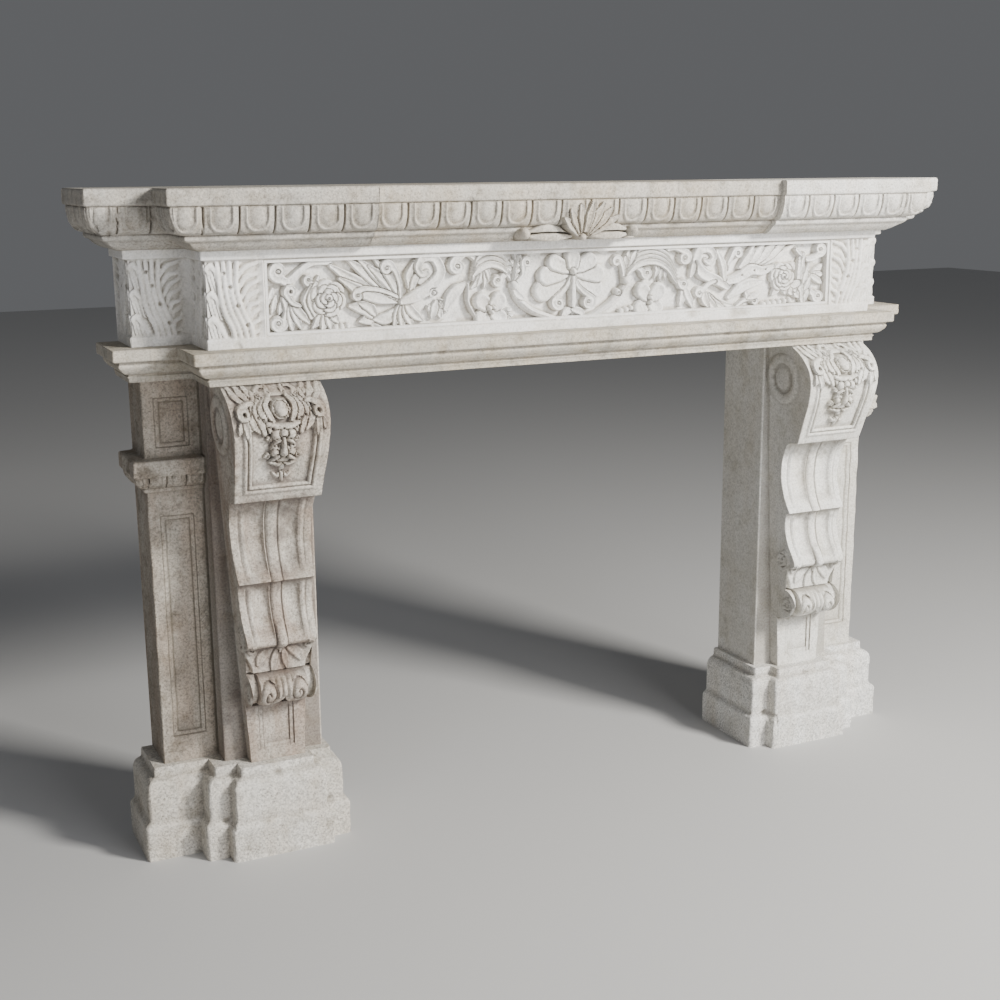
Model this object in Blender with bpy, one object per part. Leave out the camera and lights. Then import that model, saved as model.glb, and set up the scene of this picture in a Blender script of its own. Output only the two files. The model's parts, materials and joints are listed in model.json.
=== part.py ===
"""Carved limestone fireplace mantel: two legs with scroll consoles, a moulded architrave,
a frieze of foliage and a shelf in three lengths. Metres, +Z up, the wall at +Y and the room at -Y.
The origin is on the floor, under the middle of the whole mantel."""

import bpy
import bmesh
import numpy as np

# Courses, from the floor up, with a dry joint between them
PLINTH_HEIGHT = 0.211
LEG_HEIGHT = 0.882
ARCHITRAVE_HEIGHT = 0.074
FRIEZE_HEIGHT = 0.205
SHELF_HEIGHT = 0.127
JOINT = 0.0003

# Half lengths across the front, from the middle of the opening
OPENING_HALF = 0.614
JAMB_WIDTH = 0.235
PILASTER_WIDTH = 0.128
ARCHITRAVE_OVERHANG = 0.064
ARCHITRAVE_BREAK = 0.136
FRIEZE_BACKSET = 0.041
FRIEZE_BREAK = 0.131
SHELF_OVERHANG = 0.050
SHELF_BREAK = 0.137
SHELF_CENTRE_HALF = 0.512

# How far each face stands out from the wall
PLINTH_REACH = 0.266
PLINTH_STEP_REACH = 0.232
PLINTH_END_REACH = 0.176
JAMB_REACH = 0.208
JAMB_MARGIN_REACH = 0.174
PILASTER_REACH = 0.126
ARCHITRAVE_REACH = 0.329
ARCHITRAVE_END_REACH = 0.185
FRIEZE_REACH = 0.281
FRIEZE_END_REACH = 0.147
SHELF_REACH = 0.385
SHELF_CENTRE_REACH = 0.367
SHELF_END_REACH = 0.253

# Plinths
PLINTH_INNER_OVERHANG = 0.047
PLINTH_OUTER_OVERHANG = 0.060
PLINTH_INNER_STEP = 0.051
PLINTH_BLOCK_WIDTH = 0.243
PLINTH_OUTER_STEP = 0.052
PLINTH_BLOCK_TOP = 0.083
PLINTH_DIE_INSET = 0.012
PLINTH_SHOULDER = 0.165
PLINTH_SHOULDER_INSET = 0.031
PLINTH_FILLET_TOP = 0.188

# Consoles and the raised face that carries them
CONSOLE_TOP_HALF = 0.110
CONSOLE_FOOT_HALF = 0.064
CONSOLE_FRAME_INSET = 0.013
CONSOLE_FRAME_BAND = 0.008
VOLUTE_RADIUS = 0.064
HIP_CURL_RADIUS = 0.030
FOOT_CURL_RADIUS = 0.027
SIDE_RELIEF = 0.005
FLUTE_DEPTH = 0.009
RIB_HALF = 0.011
FOOT_PANEL_DEPTH = 0.006
FOOT_PANEL_HALF = 0.030
FOOT_PANEL_BOTTOM = 0.030

# Pilasters
IMPOST_BOTTOM = 0.635
IMPOST_EGGS_BOTTOM = 0.644
IMPOST_SLAB_BOTTOM = 0.674
IMPOST_SLAB_TOP = 0.710
IMPOST_OVERHANG = 0.032
IMPOST_EGGS = 3
PANEL_MARGIN = 0.026
PANEL_LINE = 0.0095
PANEL_DEPTH = 0.006
PANEL_FOOT = 0.060
PANEL_HEAD = 0.056
UPPER_PANEL_FOOT = 0.022
UPPER_PANEL_HEAD = 0.039

# Architrave moulding
ARCHITRAVE_BAND = 0.026
ARCHITRAVE_WAVE_TOP = 0.041
ARCHITRAVE_WAVE_BOTTOM = 0.019
ARCHITRAVE_FILLET = 0.013
ARCHITRAVE_WAVE_INSET = 0.012
ARCHITRAVE_FILLET_INSET = 0.036

# Frieze
FRIEZE_FILLET = 0.020
FRIEZE_FILLET_PROUD = 0.007
PANEL_HALF = 0.735
PANEL_GROUND = 0.024
PANEL_FRAME = 0.009
LEAF_MARGIN = 0.010
LEAF_GROUND = 0.008
CARVING_DEPTH = 0.024

# Shelf
SLAB_HEIGHT = 0.036
SLAB_STEP = 0.006
OVOLO_HEIGHT = 0.057
OVOLO_INSET = 0.034
UPPER_FILLET_INSET = 0.040
LOWER_FILLET_INSET = 0.052
CYMA_INSET = 0.074
EGG_PITCH = 0.0726
EGG_GROOVE = 0.006
EGG_RIM = 0.004
FAN_RADIUS = 0.072
FAN_DEPTH = 0.040
FAN_SPRIG = 0.150

# Fineness of the carved skins: grid steps, and the share of faces that are kept
CARVING_STEP = 0.0075
FRIEZE_SHARE = 0.132
CONSOLE_SHARE = 0.172
PILASTER_SHARE = 0.19
SHELF_SHARE = 0.30

WALL_Y = SHELF_REACH / 2
LEG_Z = PLINTH_HEIGHT + JOINT
ARCHITRAVE_Z = LEG_Z + LEG_HEIGHT + JOINT
FRIEZE_Z = ARCHITRAVE_Z + ARCHITRAVE_HEIGHT + JOINT
SHELF_Z = FRIEZE_Z + FRIEZE_HEIGHT + JOINT
JAMB_OUTER = OPENING_HALF + JAMB_WIDTH
LEG_OUTER = JAMB_OUTER + JOINT + PILASTER_WIDTH
CONSOLE_X = OPENING_HALF + JAMB_WIDTH / 2
ARCHITRAVE_HALF = LEG_OUTER + ARCHITRAVE_OVERHANG
FRIEZE_HALF = ARCHITRAVE_HALF - FRIEZE_BACKSET
SHELF_HALF = ARCHITRAVE_HALF + SHELF_OVERHANG


def clear_scene():
    for old in list(bpy.data.objects):
        bpy.data.objects.remove(old, do_unlink=True)


def stone(name, colour, roughness):
    """A plain matt stone of one colour."""
    material = bpy.data.materials.new(name)
    material.use_nodes = True
    shader = material.node_tree.nodes["Principled BSDF"]
    shader.inputs["Base Color"].default_value = (*colour, 1.0)
    shader.inputs["Roughness"].default_value = roughness
    shader.inputs["Metallic"].default_value = 0.0
    return material


def blend(low, high, value):
    """A smooth step from 0 at low to 1 at high."""
    share = np.clip((value - low) / (high - low), 0.0, 1.0)
    return share * share * (3.0 - 2.0 * share)


def smooth_path(points, steps=6):
    """Points along a smooth curve that passes through the given ones."""
    given = np.array(points, float)
    ends = np.vstack([2 * given[0] - given[1], given, 2 * given[-1] - given[-2]])
    curve = []
    for k in range(len(given) - 1):
        before, start, stop, after = ends[k:k + 4]
        for t in np.linspace(0.0, 1.0, steps, endpoint=False):
            straight = 2 * start + (stop - before) * t
            bend = (2 * before - 5 * start + 4 * stop - after) * t * t
            twist = (3 * start - before - 3 * stop + after) * t ** 3
            curve.append(0.5 * (straight + bend + twist))
    curve.append(given[-1])
    return np.array(curve)


class Carving:
    """Heights of carved ornament over a flat field, with the highest motif showing at each place."""

    def __init__(self, across, up):
        self.across = across
        self.up = up
        self.height = np.zeros(across.shape)

    def near(self, low, high):
        inside = (self.across > low[0]) & (self.across < high[0])
        return inside & (self.up > low[1]) & (self.up < high[1])

    def raise_to(self, place, values):
        self.height[place] = np.maximum(self.height[place], values)

    def stroke(self, path, widths, heights, hollow=0.0):
        """A rounded band along a path. Half widths and heights are given at its start, middle and end."""
        t = np.linspace(0.0, 1.0, len(path))
        half = np.interp(t, (0.0, 0.5, 1.0), widths)
        crest = np.interp(t, (0.0, 0.5, 1.0), heights)
        place = self.near(path.min(axis=0) - half.max(), path.max(axis=0) + half.max())
        if not place.any():
            return
        a, u = self.across[place], self.up[place]
        offset = np.full(a.shape, 9.0)
        level = np.zeros(a.shape)
        for k in range(len(path) - 1):
            step = path[k + 1] - path[k]
            length = max(step @ step, 1e-12)
            share = np.clip(((a - path[k][0]) * step[0] + (u - path[k][1]) * step[1]) / length, 0, 1)
            apart = np.hypot(a - path[k][0] - share * step[0], u - path[k][1] - share * step[1])
            apart = apart / (half[k] + share * (half[k + 1] - half[k]))
            closer = apart < offset
            offset = np.where(closer, apart, offset)
            level = np.where(closer, crest[k] + share * (crest[k + 1] - crest[k]), level)
        round_top = np.sqrt(np.clip(1.0 - offset ** 4, 0.0, 1.0))
        trough = hollow * np.clip(1.0 - (offset / 0.8) ** 2, 0.0, 1.0)
        self.raise_to(place, np.where(offset < 1.0, level * (round_top - trough), 0.0))

    def dome(self, centre, radius, height, stretch=1.0):
        place = self.near(np.array(centre) - radius * stretch, np.array(centre) + radius * stretch)
        out = ((self.across[place] - centre[0]) / radius) ** 2
        out = out + ((self.up[place] - centre[1]) / (radius * stretch)) ** 2
        self.raise_to(place, height * np.sqrt(np.clip(1.0 - out, 0.0, 1.0)))

    def scroll(self, centre, radius, start, turns, width, height):
        """A band that winds in from a start angle to an eye; negative turns wind clockwise."""
        angle = np.linspace(0.0, 2 * np.pi * turns, 22)
        reach = radius * (1.0 - 0.72 * np.linspace(0.0, 1.0, 22)) - width * 0.5
        path = np.stack([centre[0] + reach * np.cos(start + angle),
                         centre[1] + reach * np.sin(start + angle)], axis=1)
        self.stroke(path, (width, width * 0.85, width * 0.6), (height * 0.85, height, height))
        self.dome(centre, radius * 0.3, height * 1.1)

    def petals(self, centre, radius, count, height, turn=0.0, hollow=0.35):
        """Round-ended petals set about a centre."""
        for k in range(count):
            angle = turn + 2 * np.pi * k / count
            way = np.array([np.cos(angle), np.sin(angle)])
            half = radius * np.sin(np.pi / count) * 0.95
            path = np.array([centre + way * radius * s for s in (0.12, 0.5, 0.78)])
            self.stroke(path, (half * 0.35, half * 0.8, half), (height * 0.7, height * 0.9, height), hollow)

    def rose(self, centre, radius, height):
        """An open bloom: an outer ring of petals round a wound heart."""
        self.petals(np.array(centre), radius, 5, height * 0.75, turn=0.3, hollow=0.2)
        self.scroll(centre, radius * 0.66, 0.4, 1.6, radius * 0.14, height)

    def spray(self, spine, lobes, length, width, height, spread=0.75, sides=(1, -1)):
        """A leaf: hollow lobes branching from both sides of a spine, and the spine's own tip."""
        path = smooth_path(spine)
        for k in range(lobes):
            t = (k + 0.4) / lobes
            at = min(int(t * (len(path) - 1)), len(path) - 2)
            ahead = path[at + 1] - path[at]
            heading = np.arctan2(ahead[1], ahead[0])
            reach = length * (0.65 + 0.35 * np.sin(np.pi * t))
            for side in sides:
                angle = heading + side * spread * (1.0 - 0.35 * t)
                middle = path[at] + 0.55 * reach * np.array([np.cos(angle - side * 0.3),
                                                             np.sin(angle - side * 0.3)])
                tip = path[at] + reach * np.array([np.cos(angle), np.sin(angle)])
                lobe = smooth_path([path[at], middle, tip], 3)
                heights = (height * 0.6, height * 0.95, height * 0.7)
                self.stroke(lobe, (width * 0.5, width, width * 0.35), heights, 0.4)
        self.stroke(path, (width * 0.55, width * 0.8, width * 0.3), (height, height, height * 0.8), 0.3)


class Plan:
    """Straight edges of a stone seen from above, from the wall round the front and back to the wall.

    corners are (x, reach), cuts gives the places between the corners of each edge, as distances along
    it, and stepped says which edges a moulding draws in.
    """

    def __init__(self, corners, cuts, stepped=None):
        places = np.array([(x, WALL_Y - reach) for x, reach in corners])
        edges = len(places) - 1
        stepped = stepped or [1] * edges
        sides = np.diff(places, axis=0)
        self.lengths = np.linalg.norm(sides, axis=1)
        ways = sides / self.lengths[:, None]
        normals = np.stack([-ways[:, 1], ways[:, 0]], axis=1)
        inward = np.zeros((edges + 1, 2))
        inward[:-1] += normals * np.array(stepped)[:, None]
        inward[1:] += normals * np.array(stepped)[:, None]
        edge_of, along, corner = [], [], []
        for k in range(edges):
            edge_of += [k] * (1 + len(cuts[k]))
            along += [0.0] + list(cuts[k])
            corner += [True] + [False] * len(cuts[k])
        edge_of.append(edges - 1)
        along.append(float(self.lengths[-1]))
        corner.append(True)
        self.edge = np.array(edge_of)
        self.along = np.array(along)
        self.corner = np.array(corner)
        self.start = places[self.edge]
        self.way = ways[self.edge]
        self.normal = normals[self.edge]
        self.stepped = np.array(stepped)[self.edge]
        self.start_shift = np.einsum("ij,ij->i", inward[self.edge], self.way)
        self.end_shift = np.einsum("ij,ij->i", inward[self.edge + 1], self.way)
        self.corner_inward = inward[np.append(self.edge[:-1], edges)]

    def positions(self, insets):
        """Distance along its edge of every point at every inset, drawn clear of the mitres."""
        depth = np.array(insets)[:, None]
        length = self.lengths[self.edge]
        give = np.minimum(length, max(1.3 * np.abs(insets).max(), 1e-4))
        near_start = np.clip(1.0 - self.along / give, 0.0, 1.0)
        near_end = np.clip(1.0 - (length - self.along) / give, 0.0, 1.0)
        return self.along + depth * (self.start_shift * near_start + self.end_shift * near_end)

    def grid(self, levels, relief=None):
        """Points of the stone whose faces step in by each level's inset, with relief standing out."""
        insets = np.array([inset for z, inset in levels])
        across = self.positions(insets)
        drawn = insets[:, None] * self.stepped
        if relief is not None:
            drawn = drawn - np.where(self.corner, 0.0, relief)
        flat = self.start + self.way * across[:, :, None] + self.normal * drawn[:, :, None]
        mitred = self.start + self.way * np.where(self.edge == self.edge[-1], self.along, 0.0)[:, None]
        mitred = mitred + self.corner_inward * insets[:, None, None]
        grid = np.zeros((len(levels), len(self.along), 3))
        grid[:, :, :2] = np.where(self.corner[:, None], mitred, flat)
        grid[:, :, 2] = np.array([z for z, inset in levels])[:, None]
        return grid


def skin(name, grid, material, collection, share=None):
    """A closed stone: a wrapped grid of (row, column) points, capped below and above."""
    rows, columns = grid.shape[0] - 1, grid.shape[1]
    mesh = bpy.data.meshes.new(name)
    bm = bmesh.new()
    bmesh.ops.create_grid(bm, x_segments=columns, y_segments=rows, size=1.0)
    for vert in bm.verts:
        column = round((vert.co.x + 1.0) / 2.0 * columns) % columns
        row = round((vert.co.y + 1.0) / 2.0 * rows)
        vert.co = grid[row][column]
    bmesh.ops.remove_doubles(bm, verts=bm.verts, dist=1e-6)
    rims = [edge for edge in bm.edges if edge.is_boundary]
    bmesh.ops.holes_fill(bm, edges=rims, sides=0)
    bmesh.ops.dissolve_limit(bm, angle_limit=0.0002, verts=bm.verts, edges=bm.edges)
    bmesh.ops.triangulate(bm, faces=bm.faces)
    bmesh.ops.recalc_face_normals(bm, faces=bm.faces)
    bm.to_mesh(mesh)
    bm.free()
    mesh.materials.append(material)
    piece = bpy.data.objects.new(name, mesh)
    collection.objects.link(piece)
    if share:
        thin = piece.modifiers.new("thin", "DECIMATE")
        thin.ratio = share
    return piece


def mirror_grid(grid, side):
    """The same stone for the other leg."""
    return grid * np.array([side, 1.0, 1.0])


def steps_between(low, high, step):
    """Even cuts between two distances, without the ends."""
    count = max(int(round((high - low) / step)), 1)
    return list(np.linspace(low, high, count + 1)[1:-1])


def egg_relief(offset, up, pitch):
    """Height of the egg moulding: blocks parted by a groove, each with a rim round a tongue."""
    groove = -EGG_GROOVE * np.exp(-((np.abs(offset) - pitch / 2) / (pitch * 0.05)) ** 2)
    tongue = np.hypot(offset / (pitch * 0.27), np.clip(0.62 - up, 0.0, 1.0) / 0.42)
    rim = EGG_RIM * np.exp(-((tongue - 1.0) / 0.16) ** 2)
    egg = EGG_RIM * 0.8 * np.sqrt(np.clip(1.0 - (tongue / 0.8) ** 2, 0.0, 1.0))
    return groove + np.maximum(rim, egg)


def egg_cuts(start, stop, count):
    """Cuts along an edge that follow each egg's groove, rim and tongue."""
    pitch = (stop - start) / count
    cuts = []
    for k in range(count):
        middle = start + (k + 0.5) * pitch
        cuts += [middle + pitch * share for share in (-0.43, -0.25, 0.0, 0.25, 0.43, 0.5)]
    return cuts


def plinth_plan():
    inner = OPENING_HALF - PLINTH_INNER_OVERHANG
    block_start = inner + PLINTH_INNER_STEP
    block_stop = block_start + PLINTH_BLOCK_WIDTH
    step_stop = block_stop + PLINTH_OUTER_STEP
    outer = LEG_OUTER + PLINTH_OUTER_OVERHANG
    corners = [(inner, 0.0), (inner, PLINTH_STEP_REACH), (block_start, PLINTH_STEP_REACH),
               (block_start, PLINTH_REACH), (block_stop, PLINTH_REACH), (block_stop, PLINTH_STEP_REACH),
               (step_stop, PLINTH_STEP_REACH), (step_stop, PLINTH_END_REACH), (outer, PLINTH_END_REACH),
               (outer, 0.0)]
    return Plan(corners, [[]] * (len(corners) - 1))


def plinth_levels():
    levels = [(0.0, 0.0), (PLINTH_BLOCK_TOP, 0.0)]
    levels.append((PLINTH_BLOCK_TOP + 0.003, PLINTH_DIE_INSET * 0.5))
    levels.append((PLINTH_BLOCK_TOP + 0.010, PLINTH_DIE_INSET))
    levels.append((PLINTH_SHOULDER, PLINTH_DIE_INSET))
    rise = PLINTH_FILLET_TOP - PLINTH_SHOULDER
    run = PLINTH_SHOULDER_INSET - PLINTH_DIE_INSET
    for angle in np.linspace(0.0, np.pi / 2, 6)[1:]:
        levels.append((PLINTH_SHOULDER + rise * np.sin(angle),
                       PLINTH_DIE_INSET + run * (1.0 - np.cos(angle)) - 0.001))
    levels.append((PLINTH_FILLET_TOP + 0.001, PLINTH_SHOULDER_INSET + 0.002))
    levels.append((PLINTH_HEIGHT, PLINTH_SHOULDER_INSET + 0.002))
    return levels


def console_profile():
    """Height and stand of the console's front, from the jamb's top to its foot."""
    top = LEG_Z + LEG_HEIGHT
    shapes = [
        [(0.0, 0.070), (0.006, 0.078), (0.031, 0.118), (0.053, 0.139), (0.074, 0.148), (0.099, 0.150),
         (0.141, 0.141), (0.189, 0.121), (0.2485, 0.096), (0.2515, 0.092)],
        [(0.262, 0.056), (0.272, 0.046), (0.294, 0.033), (0.319, 0.027), (0.359, 0.025), (0.399, 0.035),
         (0.441, 0.058), (0.443, 0.057)],
        [(0.450, 0.044), (0.458, 0.041), (0.487, 0.039), (0.526, 0.050), (0.561, 0.071), (0.575, 0.075),
         (0.586, 0.072)],
        [(0.594, 0.052), (0.612, 0.047), (0.636, 0.043), (0.656, 0.041)],
        [(0.661, 0.054), (0.672, 0.072), (0.687, 0.080), (0.703, 0.078), (0.718, 0.066), (0.731, 0.046),
         (0.739, 0.024), (0.743, 0.0)],
    ]
    return [[(top - drop, stand) for drop, stand in shape] for shape in shapes]


def console_rows(step):
    """Rows of the jamb: height, stand of the front beyond the raised face, and half width."""
    stations = []
    for shape in console_profile():
        path = smooth_path(shape, 4)
        lengths = np.concatenate([[0.0], np.cumsum(np.linalg.norm(np.diff(path, axis=0), axis=1))])
        count = max(int(round(lengths[-1] / step)), 2)
        for place in np.linspace(0.0, lengths[-1], count + 1):
            stations.append((np.interp(place, lengths, path[:, 0]), np.interp(place, lengths, path[:, 1])))
    foot = stations[-1][0]
    panel_low = LEG_Z + FOOT_PANEL_BOTTOM
    for z in (foot - 0.004, panel_low + 0.002, panel_low, LEG_Z):
        stations.append((z, 0.0))
    stations = np.array(stations[::-1])
    stations[:, 0] = np.maximum.accumulate(stations[:, 0] + np.arange(len(stations)) * 1e-6)
    stations[:, 0] = np.minimum(stations[:, 0], LEG_Z + LEG_HEIGHT)
    share = (stations[:, 0] - LEG_Z) / LEG_HEIGHT
    half = CONSOLE_FOOT_HALF + (CONSOLE_TOP_HALF - CONSOLE_FOOT_HALF) * share
    return stations[:, 0], stations[:, 1], half


def console_front(across, z, half):
    """Carving on the console's front: frame, flowers, swag and leaf above, flutes and a rib below."""
    top = LEG_Z + LEG_HEIGHT
    drop = top - z
    edge = half - np.abs(across)
    relief = np.zeros(across.shape)
    upper = (drop > 0.012) & (drop < 0.2515)
    inside = np.minimum(edge, 0.2515 - drop)
    frame = (inside > CONSOLE_FRAME_INSET) & (inside < CONSOLE_FRAME_INSET + CONSOLE_FRAME_BAND)
    relief = np.where(upper & frame, 0.003, relief)
    carving = Carving(across, -drop)
    for side in (-1, 1):
        carving.petals(np.array([side * 0.080, -0.054]), 0.020, 6, 0.012)
        carving.dome((side * 0.080, -0.054), 0.006, 0.016)
        carving.stroke(smooth_path([(side * 0.066, -0.064), (side * 0.040, -0.090), (side * 0.006, -0.098)]),
                       (0.009, 0.013, 0.012), (0.010, 0.016, 0.016))
        carving.stroke(smooth_path([(side * 0.010, -0.030), (side * 0.040, -0.024), (side * 0.062, -0.040)]),
                       (0.007, 0.010, 0.005), (0.010, 0.012, 0.006), 0.3)
        carving.stroke(smooth_path([(side * 0.082, -0.076), (side * 0.090, -0.098), (side * 0.084, -0.116)]),
                       (0.005, 0.008, 0.003), (0.007, 0.009, 0.003), 0.3)
    carving.dome((0.0, -0.050), 0.018, 0.020, 1.3)
    carving.spray([(0.0, -0.088), (0.0, -0.125), (0.0, -0.165)], 4, 0.034, 0.008, 0.014, spread=0.9)
    carving.stroke(smooth_path([(0.0, -0.165), (0.003, -0.180), (0.0, -0.194)], 3),
                   (0.005, 0.003, 0.004), (0.010, 0.007, 0.007))
    relief = np.where(upper, np.maximum(relief, carving.height), relief)
    flute = np.exp(-((np.abs(across) / half - 0.40) / 0.15) ** 2)
    rib = np.abs(across) < RIB_HALF
    fluted = blend(0.262, 0.275, drop) * (1.0 - blend(0.575, 0.592, drop))
    relief = relief - fluted * FLUTE_DEPTH * np.where(rib, -0.35, flute)
    leaf = (drop > 0.592) & (drop < 0.655)
    bracket = half * (1.0 - 0.35 * blend(0.592, 0.655, drop))
    relief = np.where(leaf & (np.abs(across) > bracket), -0.018, relief)
    foot = (drop > 0.656) & (drop < 0.742)
    reeds = 0.004 * np.cos(np.abs(across) / half * np.pi * 3.0)
    relief = np.where(foot, reeds, relief)
    tips = drop - 0.712 - 0.020 * np.abs(np.sin(across / half * np.pi))
    return np.where(foot & (tips > 0.0), relief - 0.030 * blend(0.0, 0.006, tips), relief)


def console_side(depth, z):
    """Carving on the console's cheeks: three scrolls. depth runs forwards from the raised face."""
    top = LEG_Z + LEG_HEIGHT
    carving = Carving(depth, z)
    carving.scroll((0.030, top - 0.090), VOLUTE_RADIUS, 1.2, -1.7, 0.008, SIDE_RELIEF)
    carving.scroll((0.018, top - 0.585), HIP_CURL_RADIUS, 1.2, -1.2, 0.006, SIDE_RELIEF)
    carving.scroll((0.044, top - 0.690), FOOT_CURL_RADIUS, 1.2, -1.5, 0.005, SIDE_RELIEF)
    return carving.height


def jamb_grid():
    """The right jamb with its console, as rows from the floor side up."""
    z, stand, half = console_rows(0.012)
    cheeks = np.linspace(0.0, 1.0, 11)[1:-1]
    fronts = np.concatenate([np.linspace(-1.0, 1.0, 23)[1:-1]])
    rows = []
    for level, out, wide in zip(z, stand, half):
        front_y = WALL_Y - JAMB_REACH - out
        margin_y = WALL_Y - JAMB_MARGIN_REACH
        inner = OPENING_HALF
        row = [(inner, WALL_Y), (inner, margin_y)]
        depth = margin_y + (front_y - margin_y) * cheeks
        side = console_side(WALL_Y - JAMB_REACH - depth, np.full(cheeks.shape, level))
        side = np.where(WALL_Y - JAMB_REACH - depth < out - 0.004, side, 0.0)
        front = console_front(fronts * wide, np.full(fronts.shape, level), wide)
        low = level < LEG_Z + FOOT_PANEL_BOTTOM + 0.001
        panel = (out == 0.0) & (not low) & (np.abs(fronts * wide) < FOOT_PANEL_HALF)
        front = np.where(panel, -FOOT_PANEL_DEPTH, np.where(out == 0.0, 0.0, front))
        row.append((CONSOLE_X - wide, margin_y))
        row += [(CONSOLE_X - wide - s, y) for s, y in zip(side, depth)]
        row.append((CONSOLE_X - wide, front_y))
        row += [(CONSOLE_X + share * wide, front_y - f) for share, f in zip(fronts, front)]
        row.append((CONSOLE_X + wide, front_y))
        row += [(CONSOLE_X + wide + s, y) for s, y in zip(side[::-1], depth[::-1])]
        row += [(CONSOLE_X + wide, margin_y), (JAMB_OUTER, margin_y), (JAMB_OUTER, WALL_Y)]
        rows.append([(x, y, level) for x, y in row])
    return np.array(rows)


def pilaster_grid():
    """The right pilaster: panelled shaft, impost with eggs, and a panelled block above."""
    start = JAMB_OUTER + JOINT
    line = PANEL_LINE
    lows = [PANEL_MARGIN, PANEL_MARGIN + 0.001, PANEL_MARGIN + line, PANEL_MARGIN + line + 0.001]
    panel_cuts = lows + [PILASTER_WIDTH - low for low in lows[::-1]]
    eggs = egg_cuts(0.0, PILASTER_WIDTH, IMPOST_EGGS)[:-1]
    front_cuts = sorted(panel_cuts + eggs)
    side_pitch = PILASTER_REACH / 3
    side_cuts = egg_cuts(0.0, 3 * side_pitch, 3)[:-1]
    plan = Plan([(start, 0.0), (start, PILASTER_REACH), (LEG_OUTER, PILASTER_REACH), (LEG_OUTER, 0.0)],
                [[], front_cuts, side_cuts], stepped=[0, 1, 1])
    levels = []
    shaft_low, shaft_high = PANEL_FOOT, IMPOST_BOTTOM - PANEL_HEAD
    block_low, block_high = IMPOST_SLAB_TOP + UPPER_PANEL_FOOT, LEG_HEIGHT - UPPER_PANEL_HEAD
    levels += [(0.0, 0.0)]
    for low, high in ((shaft_low, shaft_high), (block_low, block_high)):
        levels += [(low, 0.0), (low + 0.001, 0.0), (low + line, 0.0), (low + line + 0.001, 0.0)]
        levels += [(high - line - 0.001, 0.0), (high - line, 0.0), (high - 0.001, 0.0), (high, 0.0)]
        if low == shaft_low:
            levels += [(IMPOST_BOTTOM, 0.0), (IMPOST_BOTTOM + 0.0005, -0.006), (IMPOST_EGGS_BOTTOM, -0.007)]
            for up in np.linspace(0.0, 1.0, 6):
                out = IMPOST_OVERHANG * (0.35 + 0.45 * np.sqrt(1.0 - (1.0 - up) ** 2))
                rise = up * (IMPOST_SLAB_BOTTOM - 0.002 - IMPOST_EGGS_BOTTOM)
                levels.append((IMPOST_EGGS_BOTTOM + 0.001 + rise, -out))
            levels += [(IMPOST_SLAB_BOTTOM, -IMPOST_OVERHANG), (IMPOST_SLAB_TOP, -IMPOST_OVERHANG),
                       (IMPOST_SLAB_TOP + 0.0005, 0.0)]
    levels += [(LEG_HEIGHT, 0.0)]
    height = np.array([z for z, inset in levels])
    along = plan.positions([inset for z, inset in levels])
    relief = np.zeros(along.shape)
    egg_up = (height - IMPOST_EGGS_BOTTOM) / (IMPOST_SLAB_BOTTOM - IMPOST_EGGS_BOTTOM)
    band = (egg_up > 0.0) & (egg_up < 0.97)
    for edge, width, count in ((1, PILASTER_WIDTH, IMPOST_EGGS), (2, PILASTER_REACH, 3)):
        pitch = width / count
        eggs_here = egg_relief(along % pitch - pitch / 2, egg_up[:, None], pitch)
        relief += np.where(band[:, None] & (plan.edge == edge), eggs_here, 0.0)
    for low, high in ((shaft_low, shaft_high), (block_low, block_high)):
        for inset in (0.0, line):
            sunk = (height[:, None] > low + inset + 0.0005) & (height[:, None] < high - inset - 0.0005)
            across = (along > PANEL_MARGIN + inset + 0.0005) & (plan.edge == 1)
            across &= along < PILASTER_WIDTH - PANEL_MARGIN - inset - 0.0005
            relief -= np.where(sunk & across, PANEL_DEPTH / 2, 0.0)
    grid = plan.grid(levels, relief)
    grid[:, :, 2] += LEG_Z
    return grid


def stepped_front(half, reach, break_back, end_reach):
    """Corners of a course that stands forward between its two set-back ends."""
    return [(-half, 0.0), (-half, end_reach), (-half + break_back, end_reach), (-half + break_back, reach),
            (half - break_back, reach), (half - break_back, end_reach), (half, end_reach), (half, 0.0)]


def architrave_grid():
    plan = Plan(stepped_front(ARCHITRAVE_HALF, ARCHITRAVE_REACH, ARCHITRAVE_BREAK, ARCHITRAVE_END_REACH),
                [[]] * 7)
    wave_run = ARCHITRAVE_FILLET_INSET - ARCHITRAVE_WAVE_INSET - 0.012
    levels = [(0.0, ARCHITRAVE_FILLET_INSET + 0.002), (ARCHITRAVE_FILLET, ARCHITRAVE_FILLET_INSET - 0.004)]
    levels += [(ARCHITRAVE_FILLET + 0.001, ARCHITRAVE_FILLET_INSET + 0.002),
               (ARCHITRAVE_WAVE_BOTTOM, ARCHITRAVE_FILLET_INSET)]
    for up in np.linspace(0.0, 1.0, 6):
        levels.append((ARCHITRAVE_WAVE_BOTTOM + 0.001 + up * (ARCHITRAVE_WAVE_TOP - ARCHITRAVE_WAVE_BOTTOM),
                       ARCHITRAVE_WAVE_INSET + wave_run * (1.0 - np.sin(up * np.pi / 2))))
    levels += [(ARCHITRAVE_HEIGHT - ARCHITRAVE_BAND - 0.0005, ARCHITRAVE_WAVE_INSET + 0.001),
               (ARCHITRAVE_HEIGHT - ARCHITRAVE_BAND, 0.001), (ARCHITRAVE_HEIGHT - 0.002, 0.0),
               (ARCHITRAVE_HEIGHT, 0.001)]
    grid = plan.grid(levels)
    grid[:, :, 2] += ARCHITRAVE_Z
    return grid


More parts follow.
